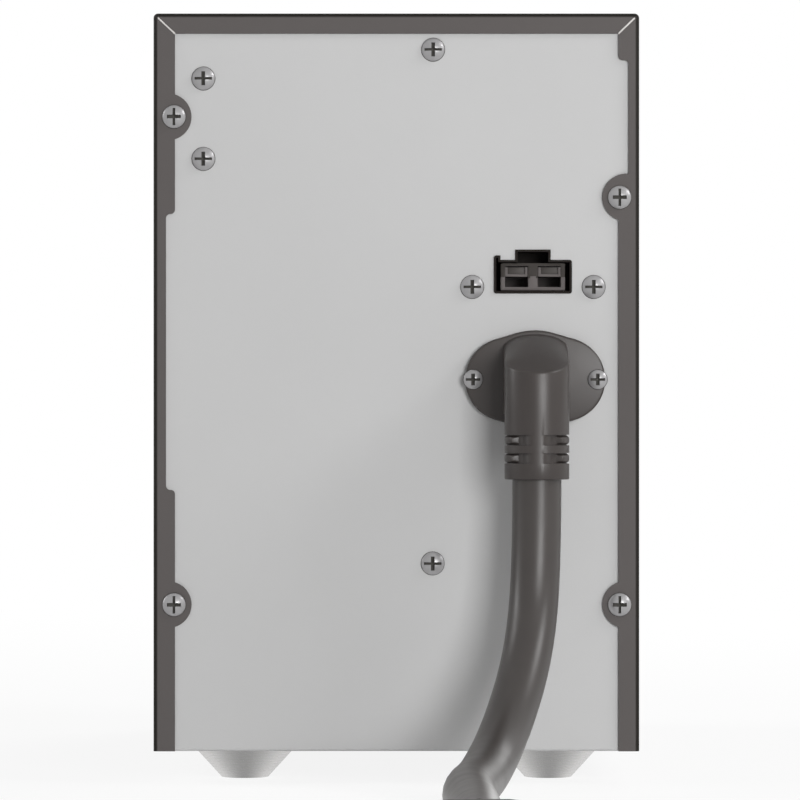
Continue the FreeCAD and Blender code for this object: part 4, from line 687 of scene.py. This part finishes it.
# Angles in degrees from the leg's front or back: a groove's soft end, its rib's, and its shallower side
GROOVE_END = (8, 38)
RIB_END = (44, 54)
GROOVE_SIDE = (46, 70)
# Share of its depth that a groove loses at the leg's side, and the power that makes its rib's top flat
GROOVE_LOSS = 0.55
RIB_POWER = 4
# Rows of faces in a groove, and the height in which its walls step in
GROOVE_ROWS = 16
GROOVE_WALL = mm(0.05)
# The rounding of the leg's lower end: in from its side and up from its end, in millimetres
LEG_END = ((0.6, 0.0), (0.15, 0.15), (0.0, 0.5))


def flange_plate(bm, centre_x, centre_z):
    """The oval flange: two end arcs and two flatter arcs with tangent lines between them."""
    size = sizes()
    spread, end = size.flange_end_spread, size.flange_end_radius
    side, half = size.flange_side_radius, size.flange_half_height
    drop = side - half
    lean = math.atan2(drop, spread) + math.acos((side - end) / math.hypot(drop, spread))
    # Each arc: its centre's offset, radius, first angle and sweep
    arcs = [
        ((spread, 0.0), end, -lean, 2 * lean),
        ((0.0, -drop), side, lean, math.pi - 2 * lean),
        ((-spread, 0.0), end, math.pi - lean, 2 * lean),
        ((0.0, drop), side, math.pi + lean, math.pi - 2 * lean),
    ]
    chains = []
    for (across, up), radius, first, sweep in arcs:
        hub = Vector((centre_x + across, PANEL_Y, centre_z + up))
        seed = bm.verts.new(hub + Vector((math.cos(first) * radius, 0, math.sin(first) * radius)))
        bmesh.ops.spin(bm, geom=[seed], cent=hub, axis=(0, -1, 0), angle=sweep,
                       steps=round(sweep / FLANGE_STEP))
        bm.verts.ensure_lookup_table()
        chains.append((seed, bm.verts[-1]))
    for (_, end_vert), (next_vert, _) in zip(chains, chains[1:] + chains[:1]):
        bm.edges.new((end_vert, next_vert))
    back = bmesh.ops.edgeloop_fill(bm, edges=bm.edges[:])["faces"]
    grown = bmesh.ops.extrude_face_region(bm, geom=back, use_keep_orig=True)
    front = [item for item in grown["geom"] if isinstance(item, bmesh.types.BMVert)]
    bmesh.ops.translate(bm, verts=front, vec=(0, -size.flange_thick, 0))
    rim = [item for item in grown["geom"] if isinstance(item, bmesh.types.BMEdge)]
    soften(bm, rim, size.flange_edge, segments=4)


def hood_fall(across, out, reach):
    """How far the hood's top lies below its crest: a slope, an arch that flattens, and a round edge."""
    size = sizes()
    radius = size.barrel_radius
    slope = size.hood_front * max(0.0, out - size.flange_thick) / (reach + radius - size.flange_thick)
    crown = size.hood_shoulder + (size.hood_flatter - size.hood_shoulder) * min(1.0, out / reach)
    share = min(1.0, abs(across) / radius)
    arch = crown * (1 - math.sqrt(1 - share * share))
    inwards = radius - math.hypot(across, max(0.0, out - reach))
    rim = size.hood_edge - max(0.0, min(inwards, size.hood_edge))
    return slope + arch + size.hood_edge - math.sqrt(size.hood_edge ** 2 - rim ** 2)


def hood(bm, centre_x, centre_z, barrel_y):
    """The hood: a rounded plan drawn up to a sloping, arched top."""
    size = sizes()
    radius = size.barrel_radius
    foot, crest = centre_z - size.leg_drop, centre_z + size.hood_rise
    reach = PANEL_Y - barrel_y
    seed = bm.verts.new((centre_x - radius, barrel_y, foot))
    bmesh.ops.spin(bm, geom=[seed], cent=(centre_x, barrel_y, foot), axis=(0, 0, 1), angle=math.pi,
                   steps=HOOD_STEPS)
    bm.verts.ensure_lookup_table()
    last = bm.verts[-1]
    corners = [bm.verts.new((centre_x + across, PANEL_Y, foot)) for across in (radius, -radius)]
    for pair in ((last, corners[0]), (corners[0], corners[1]), (corners[1], seed)):
        bm.edges.new(pair)
    floor = bmesh.ops.edgeloop_fill(bm, edges=bm.edges[:])["faces"]
    grown = bmesh.ops.extrude_face_region(bm, geom=floor, use_keep_orig=True)
    top = [item for item in grown["geom"] if isinstance(item, bmesh.types.BMVert)]
    bmesh.ops.translate(bm, verts=top, vec=(0, 0, crest - foot))
    cap = [item for item in grown["geom"] if isinstance(item, bmesh.types.BMFace)]
    for width in HOOD_RINGS:
        bmesh.ops.inset_region(bm, faces=cap, thickness=mm(width), depth=0.0, use_boundary=True,
                               use_even_offset=True)
    aside, ahead = int(radius / HOOD_CUTS_ACROSS), int((reach + radius) / HOOD_CUTS_ALONG)
    slice_across(bm, (1, 0, 0), [centre_x + HOOD_CUTS_ACROSS * cut for cut in range(-aside, aside + 1)])
    slice_across(bm, (0, 1, 0), [PANEL_Y - HOOD_CUTS_ALONG * cut for cut in range(1, ahead + 1)])
    for vert in bm.verts:
        if vert.co.z > crest - NEAR:
            vert.co.z = crest - hood_fall(vert.co.x - centre_x, PANEL_Y - vert.co.y, reach)


def groove_fall(height, turn, low):
    """Depth of a flex groove at a height and an angle from the front, with its soft ends and its rib."""
    size = sizes()
    if not low + NEAR < height < low + size.groove_height - NEAR:
        return 0.0
    side = min(turn, 180 - turn)
    lift = (height - low - size.groove_height / 2) / (size.rib_height / 2)
    rib = math.sqrt(max(0.0, 1 - lift ** RIB_POWER)) * eased(side, *RIB_END)
    left = 1 - GROOVE_LOSS * eased(side, *GROOVE_SIDE)
    return size.groove_depth * eased(side, *GROOVE_END) * left * (1 - rib)


def barrel(bm, centre_x, centre_z, barrel_y, low_z):
    """The round leg with two flex grooves on each side, each with a rib left across it."""
    size = sizes()
    radius = size.barrel_radius
    lows = [centre_z - size.groove_lower, centre_z - size.groove_upper]
    floor = size.groove_height - 2 * GROOVE_WALL
    rows = [GROOVE_WALL + floor * row / GROOVE_ROWS for row in range(GROOVE_ROWS + 1)]
    profile = [(size.cable_diameter / 2, 0.0)]
    profile += [(radius - mm(inwards), mm(up)) for inwards, up in LEG_END]
    for low in lows:
        profile += [(radius, low - low_z + row) for row in (0.0, *rows, size.groove_height)]
    profile.append((radius, centre_z - size.leg_drop - low_z))
    revolve(bm, profile, (centre_x, barrel_y, low_z), (0, 0, 1), LEG_STEPS)
    for vert in bm.verts:
        out = Vector((vert.co.x - centre_x, vert.co.y - barrel_y, 0))
        turn = math.degrees(math.atan2(abs(out.x), -out.y))
        vert.co -= out.normalized() * sum(groove_fall(vert.co.z, turn, low) for low in lows)


class MODULE_OT_elbow(bpy.types.Operator):
    """Moulded right-angle cable outlet with its flange, hood and grooved leg"""
    bl_idname = "module.elbow"
    bl_label = "Cable Elbow"

    def execute(self, context):
        size = sizes()
        centre_z = ELBOW_HIGH.z - size.flange_half_height
        barrel_y = ELBOW_LOW.y + size.barrel_radius
        shells = bmesh.new()
        for make, values in ((flange_plate, ()), (hood, (barrel_y,)), (barrel, (barrel_y, ELBOW_LOW.z))):
            part = bmesh.new()
            make(part, ELBOW_X, centre_z, *values)
            append(shells, part)
        dress("cable_elbow_moulding", shells, "moulded_pvc_elbow", ["cable_elbow"])
        return {"FINISHED"}


# Cable and plug

# The cable's route: offsets from the elbow's barrel axis, and heights above the floor
CABLE_ROUTE = [
    (0.0, 0.0, 0.0953),
    (-0.004, -0.014, 0.058),
    (-0.0145, -0.043, 0.0275),
    (-0.025, -0.084, 0.0107),
    (-0.033, -0.155, 0.0107),
    (-0.03, -0.24, 0.0107),
    (-0.03, -0.32, 0.0107),
]


def grip_shell(bm, middle_x, back_y, front_y):
    """The plug's grip: a flared moulding with rounded edges and finger grooves on its flat sides."""
    size = sizes()
    low, high = GRIP_LOW.z, size.cable_diameter
    neck, flare = size.cable_diameter / 2 + size.grip_neck_wall, GRIP_HIGH.x - middle_x
    outline = mirrored([(neck, back_y), (flare, back_y - size.grip_flare), (flare, front_y)])
    floor = bm.faces.new([bm.verts.new((middle_x + across, y, low)) for across, y in outline])
    grown = bmesh.ops.extrude_face_region(bm, geom=[floor], use_keep_orig=True)
    top = [item for item in grown["geom"] if isinstance(item, bmesh.types.BMVert)]
    bmesh.ops.translate(bm, verts=top, vec=(0, 0, high - low))
    bmesh.ops.recalc_face_normals(bm, faces=bm.faces[:])
    soften(bm, bm.edges[:], size.grip_edge, segments=4)
    reach, half = size.grip_groove_length / 2, size.grip_groove_width / 2
    first_y = front_y + size.grip_groove_start
    middles = [first_y + size.grip_groove_pitch * groove for groove in range(size.grip_grooves)]
    slice_across(bm, (1, 0, 0), [middle_x - reach, middle_x + reach])
    slice_across(bm, (0, 1, 0), [middle + side for middle in middles for side in (-half, half)])
    for up in (-1, 1):
        pressed = []
        for face in bm.faces:
            spot = face.calc_center_median()
            in_groove = any(abs(spot.y - middle) < half for middle in middles)
            if in_groove and abs(spot.x - middle_x) < reach and face.normal.z * up > FACING:
                pressed.append(face)
        sink_faces(bm, pressed, lambda spot: spot - Vector((0, 0, up * size.grip_groove_depth)), 0)


def collar(bm, middle_x, front_y):
    """The plug's collar: a cheek on each side of its mouth and the latch above it."""
    size = sizes()
    centre_z = size.cable_diameter / 2
    root_y, cheek = front_y + size.plug_overlap, HOUSING_HALF.x + size.plug_play
    for inner, outer in ((-cheek - size.plug_wall, -cheek), (cheek, cheek + size.plug_wall)):
        bar(bm, (middle_x + inner, GRIP_LOW.y, centre_z - HOUSING_HALF.z),
            (middle_x + outer, root_y, centre_z + HOUSING_HALF.z), size.plug_edge)
    bar(bm, (middle_x - size.latch_width / 2, GRIP_LOW.y, centre_z + HOUSING_HALF.z + size.plug_play),
        (middle_x + size.latch_width / 2, root_y, centre_z + size.latch_top), size.plug_edge)


def jacket_tube(route):
    """The cable's jacket: a round tube on a smooth curve that the route's points guide."""
    line = bpy.data.curves.new("cable_jacket", "CURVE")
    line.dimensions = "3D"
    line.resolution_u = 16
    line.bevel_depth = sizes().cable_diameter / 2
    line.bevel_resolution = 10
    line.use_fill_caps = True
    spline = line.splines.new("NURBS")
    spline.points.add(len(route) - 1)
    for point, spot in zip(spline.points, route):
        point.co = (*spot, 1.0)
    spline.order_u = 3
    spline.use_endpoint_u = True
    line.materials.append(bpy.data.materials["extruded_pvc_jacket"])
    cable = bpy.data.objects.new("cable_jacket", line)
    bpy.context.scene.collection.objects.link(cable)
    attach(cable, ALL)
    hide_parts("cable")
    return cable


class MODULE_OT_cable(bpy.types.Operator):
    """Cable from the elbow to its plug, along the floor"""
    bl_idname = "module.cable"
    bl_label = "Cable and Plug"

    def execute(self, context):
        size = sizes()
        start_y = ELBOW_LOW.y + size.barrel_radius
        route = [Vector((ELBOW_X, start_y, ELBOW_LOW.z))]
        route += [Vector((ELBOW_X + across, start_y + out, height)) for across, out, height in CABLE_ROUTE]
        cable = jacket_tube(route)
        middle_x, front_y = route[-1].x, GRIP_LOW.y + size.plug_nose
        bm = bmesh.new()
        grip_shell(bm, middle_x, GRIP_HIGH.y, front_y)
        collar(bm, middle_x, front_y)
        plug = dress("plug_grip", bm, "moulded_pvc_grip", ["plug_housing"])
        return {"FINISHED"}


# Socket, drawn about the middle of its housing

def socket_body(bm):
    """The housing: a block with rounded long edges and two bays sunk into its face."""
    size = sizes()
    wide, deep, tall = HOUSING_HALF
    bmesh.ops.create_cube(bm, size=2.0, matrix=Matrix.Diagonal((wide, deep, tall, 1.0)))
    lengthwise = [side for side in bm.edges if abs(side.verts[0].co.y - side.verts[1].co.y) > NEAR]
    soften(bm, lengthwise, size.socket_corner, segments=3)
    outer, inner = wide - size.socket_side, size.socket_post / 2
    floor, ceiling = size.socket_sill - tall, tall - size.socket_lintel
    slice_across(bm, (1, 0, 0), [-outer, -inner, inner, outer])
    slice_across(bm, (0, 0, 1), [floor, ceiling])
    bays = []
    for face in bm.faces:
        middle = face.calc_center_median()
        if face.normal.y < -FACING and inner < abs(middle.x) < outer and floor < middle.z < ceiling:
            bays.append(face)
    # The bays' walls and floors take finish 1, the lighter nylon: painted light inside the bays
    sink_faces(bm, bays, lambda spot: spot + Vector((0, size.socket_bay_depth, 0)), 1)
    front = [side for side in bm.edges if all(vert.co.y < NEAR - deep for vert in side.verts)]
    corners = [side for side in front if side.is_manifold and side.calc_face_angle() > SHARP_ANGLE]
    soften(bm, corners, size.socket_edge)


def socket_rim(bm):
    """The lower rim: a comb that stands a little proud of the face, with a nib on its middle tooth."""
    size = sizes()
    wide, deep, tall = HOUSING_HALF
    outer, inner, floor = wide - size.socket_side, size.socket_post / 2, size.socket_sill - tall
    nib, post_z, side_z = size.nib_width / 2, -size.rim_post_drop, -size.rim_side_drop
    comb = mirrored([
        (wide, -tall), (wide, side_z), (outer, side_z), (outer, floor), (inner, floor), (inner, post_z),
        (nib, post_z), (nib, size.nib_top),
    ])
    plate(bm, comb, size.rim_back - deep, -size.rim_front - deep, size.socket_edge)


def socket_tongues(bm):
    """The contacts: a tongue in the upper half of each bay, with a raised border on three sides."""
    size = sizes()
    face_y = -HOUSING_HALF.y
    wide, border = size.tongue_width / 2, size.border_width
    low, high = size.tongue_low, size.tongue_high
    outline = mirrored([(wide, low), (wide, high), (wide - border, high), (wide - border, low + border)])
    for middle in (-size.tongue_pitch / 2, size.tongue_pitch / 2):
        bar(bm, (middle - wide, face_y + size.tongue_front, low),
            (middle + wide, face_y + size.tongue_back, high), size.socket_edge)
        # The border takes finish 1, the lighter nylon: painted light
        plate(bm, [(middle + across, z) for across, z in outline], face_y + size.border_back,
              face_y + size.border_front, size.socket_edge, 1)


class MODULE_OT_socket(bpy.types.Operator):
    """Socket housing with its two contacts and the rims round them"""
    bl_idname = "module.socket"
    bl_label = "Socket"

    def execute(self, context):
        # The rim, the bays and the contacts' borders take the lighter nylon, which is painted light
        pieces = (
            ("socket_body", socket_body, "moulded_nylon_housing moulded_nylon_rim", "socket_plastic",
             ["socket_housing"]),
            ("socket_rim", socket_rim, "moulded_nylon_rim", "socket_plastic", []),
            ("socket_tongues", socket_tongues, "tinned_copper moulded_nylon_rim", "contact_metal",
             ["socket_contacts"]),
        )
        for name, make, finish, slot, nodes in pieces:
            bm = bmesh.new()
            make(bm)
            bmesh.ops.translate(bm, verts=bm.verts[:], vec=HOUSING_CENTRE)
            dress(name, bm, finish, nodes)
        return {"FINISHED"}


# Feet

FOOT_STEPS = 96
# A foot's lower corners, in shares of its rounding: the bend's middle point outwards and upwards, and the
# width of the flat's two ends
BEND_OUT, BEND_UP, FLAT_END = 0.3, 0.25, 0.4


class MODULE_OT_feet(bpy.types.Operator):
    """Four turned conical feet with their counterbores"""
    bl_idname = "module.feet"
    bl_label = "Feet"

    def execute(self, context):
        size = sizes()
        edge, flat_end = size.foot_edge, size.foot_edge * FLAT_END
        for name in ("foot_rear_left", "foot_rear_right", "foot_front_left", "foot_front_right"):
            low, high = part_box(name)
            centre = Vector(((low.x + high.x) / 2, (low.y + high.y) / 2, 0.0))
            top, height = (high.x - low.x) / 2, high.z
            fall = Vector((top - size.foot_tip, height)).normalized()
            profile = [
                (size.foot_bore, height), (top, height), (size.foot_tip + fall.x * edge, fall.y * edge),
                (size.foot_tip + fall.x * edge * BEND_OUT, fall.y * edge * BEND_UP),
                (size.foot_tip - flat_end, 0.0), (size.foot_sink + flat_end, 0.0), (size.foot_sink, flat_end),
                (size.foot_sink, size.foot_sink_depth), (size.foot_bore, size.foot_sink_depth),
                (size.foot_bore, height),
            ]
            bm = bmesh.new()
            revolve(bm, profile, centre, (0, 0, 1), FOOT_STEPS)
            # The angle round the foot, along which the finish paints its sheen bands
            turn_map = bm.loops.layers.uv.new("turn")
            for face in bm.faces:
                middle = face.calc_center_median() - centre
                facing = math.atan2(middle.x, -middle.y)
                for loop in face.loops:
                    spot = loop.vert.co - centre
                    turn = math.atan2(spot.x, -spot.y)
                    turn += math.tau * round((facing - turn) / math.tau)
                    loop[turn_map].uv = (turn / math.tau, spot.z / height)
            dress(name + "_cone", bm, "turned_aluminium_painted_sheen", [name])
        return {"FINISHED"}


class MODULE_OT_mitres(bpy.types.Operator):
    """Light beads nearly flush in the mitred corners between the cover's top and side flanges: painted light
    where the slits would lie in shade
    """
    bl_idname = "module.mitres"
    bl_label = "Mitre Beads"

    def execute(self, context):
        size = sizes()
        bm = bmesh.new()
        half = size.mitre_width / 2
        for side, flange in ((-1, size.flange_left), (1, size.flange_right)):
            inner = Vector((side * (CASE_HIGH.x - flange), 0, CASE_HIGH.z - size.flange_top))
            outer = Vector((side * (CASE_HIGH.x - size.cover_bend), 0, CASE_HIGH.z - size.cover_bend))
            run = outer - inner
            bead = bmesh.new()
            bar(bead, (0, BACK_Y + size.mitre_sink, -half), (run.length, PANEL_Y, half), size.mitre_sink)
            turn = Matrix.Rotation(-math.atan2(run.z, run.x), 4, "Y")
            bmesh.ops.transform(bead, matrix=Matrix.Translation(inner) @ turn, verts=bead.verts[:])
            append(bm, bead)
        dress("cover_mitre_beads", bm, "mitre_painted_light")
        return {"FINISHED"}


# Solids that stay as they are packed

class MODULE_OT_finishes(bpy.types.Operator):
    """Finishes for every piece, and their place on the solids that stay"""
    bl_idname = "module.finishes"
    bl_label = "Finishes"

    def execute(self, context):
        made = finishes()
        for part in frame["record"]["subparts"]:
            data = frame["nodes"][part["node"]].data
            data.materials.clear()
            data.materials.append(made[part["material_slot"]])
        return {"FINISHED"}


# Stage

# Lamps: name, place, width of the square softbox in metres and power in watts
LAMPS = (
    ("rear_key", (0.98, -2.75, 0.55), 1.0, 42.5),
    ("rear_right", (2.2, -0.9, 1.6), 0.8, 24.0),
    ("front_key", (0.95, 2.2, 1.3), 1.3, 36.0),
    ("left_side", (-2.4, 0.3, 1.2), 1.3, 32.0),
)
# Where the lamps point, near the module's middle
LAMP_TARGET = (0.0, 0.0, 0.17)
# The white surroundings light the object at this share of their brightness
AMBIENT = 0.2
# The floor is plain white beyond the far distance; within the near one it is white by this share
PAPER_NEAR, PAPER_FAR, PAPER_WHITE = 0.5, 1.6, 0.88
FLOOR_REACH = 30.0


def aim(item, spot, target):
    """Put a lamp or camera at a spot and turn it towards its target."""
    item.location = spot
    item.rotation_euler = (Vector(target) - Vector(spot)).to_track_quat("-Z", "Y").to_euler()


def softbox(name, spot, width, power):
    """A square soft lamp that points at the module."""
    data = bpy.data.lights.new(name, "AREA")
    data.size = width
    data.energy = power
    lamp = bpy.data.objects.new(name, data)
    bpy.context.scene.collection.objects.link(lamp)
    aim(lamp, spot, LAMP_TARGET)


class MODULE_OT_camera(bpy.types.Operator):
    """Camera level with the module's middle, square to the rear panel"""
    bl_idname = "module.camera"
    bl_label = "Camera"

    def execute(self, context):
        size = sizes()
        data = bpy.data.cameras.new("camera")
        data.sensor_width = 36.0
        data.lens = data.sensor_width * size.camera_distance / size.frame_width
        data.clip_start, data.clip_end = 0.05, 60.0
        camera = bpy.data.objects.new("camera", data)
        context.scene.collection.objects.link(camera)
        aim(camera, (size.camera_x, PANEL_Y - size.camera_distance, size.camera_z),
            (size.camera_x, PANEL_Y, size.camera_z))
        context.scene.camera = camera
        return {"FINISHED"}


def seen_directly(tree):
    """1 for what the camera, a reflection or a transparent piece shows, 0 for light that falls on a piece."""
    path = add(tree, "LightPath")
    seen = add(tree, "Math", {0: path.outputs["Is Camera Ray"], 1: path.outputs["Is Glossy Ray"]},
               operation="MAXIMUM")
    seen = add(tree, "Math", {0: seen.outputs[0], 1: path.outputs["Is Transmission Ray"]},
               operation="MAXIMUM")
    return seen.outputs[0]


def white_surroundings():
    """A world that is white to look at and lights the object softly."""
    world = bpy.data.worlds.new("studio")
    world.use_nodes = True
    tree = world.node_tree
    tree.nodes.clear()
    level = add(tree, "MapRange", {"Value": seen_directly(tree), "To Min": AMBIENT, "To Max": 1.0})
    sky = add(tree, "Background", {"Color": opaque((1.0, 1.0, 1.0)), "Strength": level.outputs[0]})
    add(tree, "OutputWorld", {"Surface": sky.outputs[0]})
    return world


def white_paper():
    """Matt white paper that keeps the object's shadow near it and is plain white further away."""
    made = bpy.data.materials.new("white_paper")
    made.use_nodes = True
    tree = made.node_tree
    tree.nodes.clear()
    place = add(tree, "TexCoord").outputs["Object"]
    away = add(tree, "VectorMath", {0: place}, operation="LENGTH")
    white = add(tree, "MapRange", {"Value": away.outputs["Value"], "From Min": PAPER_NEAR,
                                   "From Max": PAPER_FAR, "To Min": PAPER_WHITE, "To Max": 1.0})
    lit = add(tree, "Math", {0: seen_directly(tree), 1: white.outputs[0]}, operation="MULTIPLY")
    matt = add(tree, "BsdfDiffuse", {"Color": opaque((0.9, 0.9, 0.9))})
    glow = add(tree, "Emission", {"Color": opaque((1.0, 1.0, 1.0)), "Strength": 1.0})
    both = add(tree, "MixShader", {"Fac": lit.outputs[0], 1: matt.outputs[0], 2: glow.outputs[0]})
    add(tree, "OutputMaterial", {"Surface": both.outputs[0]})
    return made


class MODULE_OT_stage(bpy.types.Operator):
    """White floor, white surroundings and soft studio light"""
    bl_idname = "module.stage"
    bl_label = "Stage"

    def execute(self, context):
        scene = context.scene
        scene.view_settings.view_transform = "Standard"
        scene.world = white_surroundings()
        sheet = bmesh.new()
        bmesh.ops.create_grid(sheet, x_segments=1, y_segments=1, size=FLOOR_REACH)
        mesh = bpy.data.meshes.new("floor")
        sheet.to_mesh(mesh)
        sheet.free()
        mesh.materials.append(white_paper())
        floor = bpy.data.objects.new("floor", mesh)
        scene.collection.objects.link(floor)
        for lamp in LAMPS:
            softbox(*lamp)
        return {"FINISHED"}


STEPS = (
    MODULE_OT_camera, MODULE_OT_finishes, MODULE_OT_cable, MODULE_OT_elbow, MODULE_OT_screws,
    MODULE_OT_socket, MODULE_OT_feet, MODULE_OT_mitres, MODULE_OT_stage,
)


class MODULE_PT_build(bpy.types.Panel):
    """The module's pieces, in the order in which they are built"""
    bl_label = "Tower Battery Module"
    bl_space_type = "VIEW_3D"
    bl_region_type = "UI"
    bl_category = "Module"

    def draw(self, context):
        for step in STEPS:
            self.layout.operator(step.bl_idname)
        for group in (context.scene.module_sizes, context.scene.module_colours):
            box = self.layout.box()
            for name in group.__annotations__:
                box.prop(group, name)


CLASSES = (ModuleSizes, ModuleColours, *STEPS, MODULE_PT_build)


def register():
    for item in CLASSES:
        bpy.utils.register_class(item)
    bpy.types.Scene.module_sizes = PointerProperty(type=ModuleSizes)
    bpy.types.Scene.module_colours = PointerProperty(type=ModuleColours)


def unregister():
    del bpy.types.Scene.module_colours
    del bpy.types.Scene.module_sizes
    for item in reversed(CLASSES):
        bpy.utils.unregister_class(item)


def main():
    register()
    for step in STEPS:
        group, name = step.bl_idname.split(".")
        getattr(getattr(bpy.ops, group), name)()


if __name__ == "__main__":
    main()
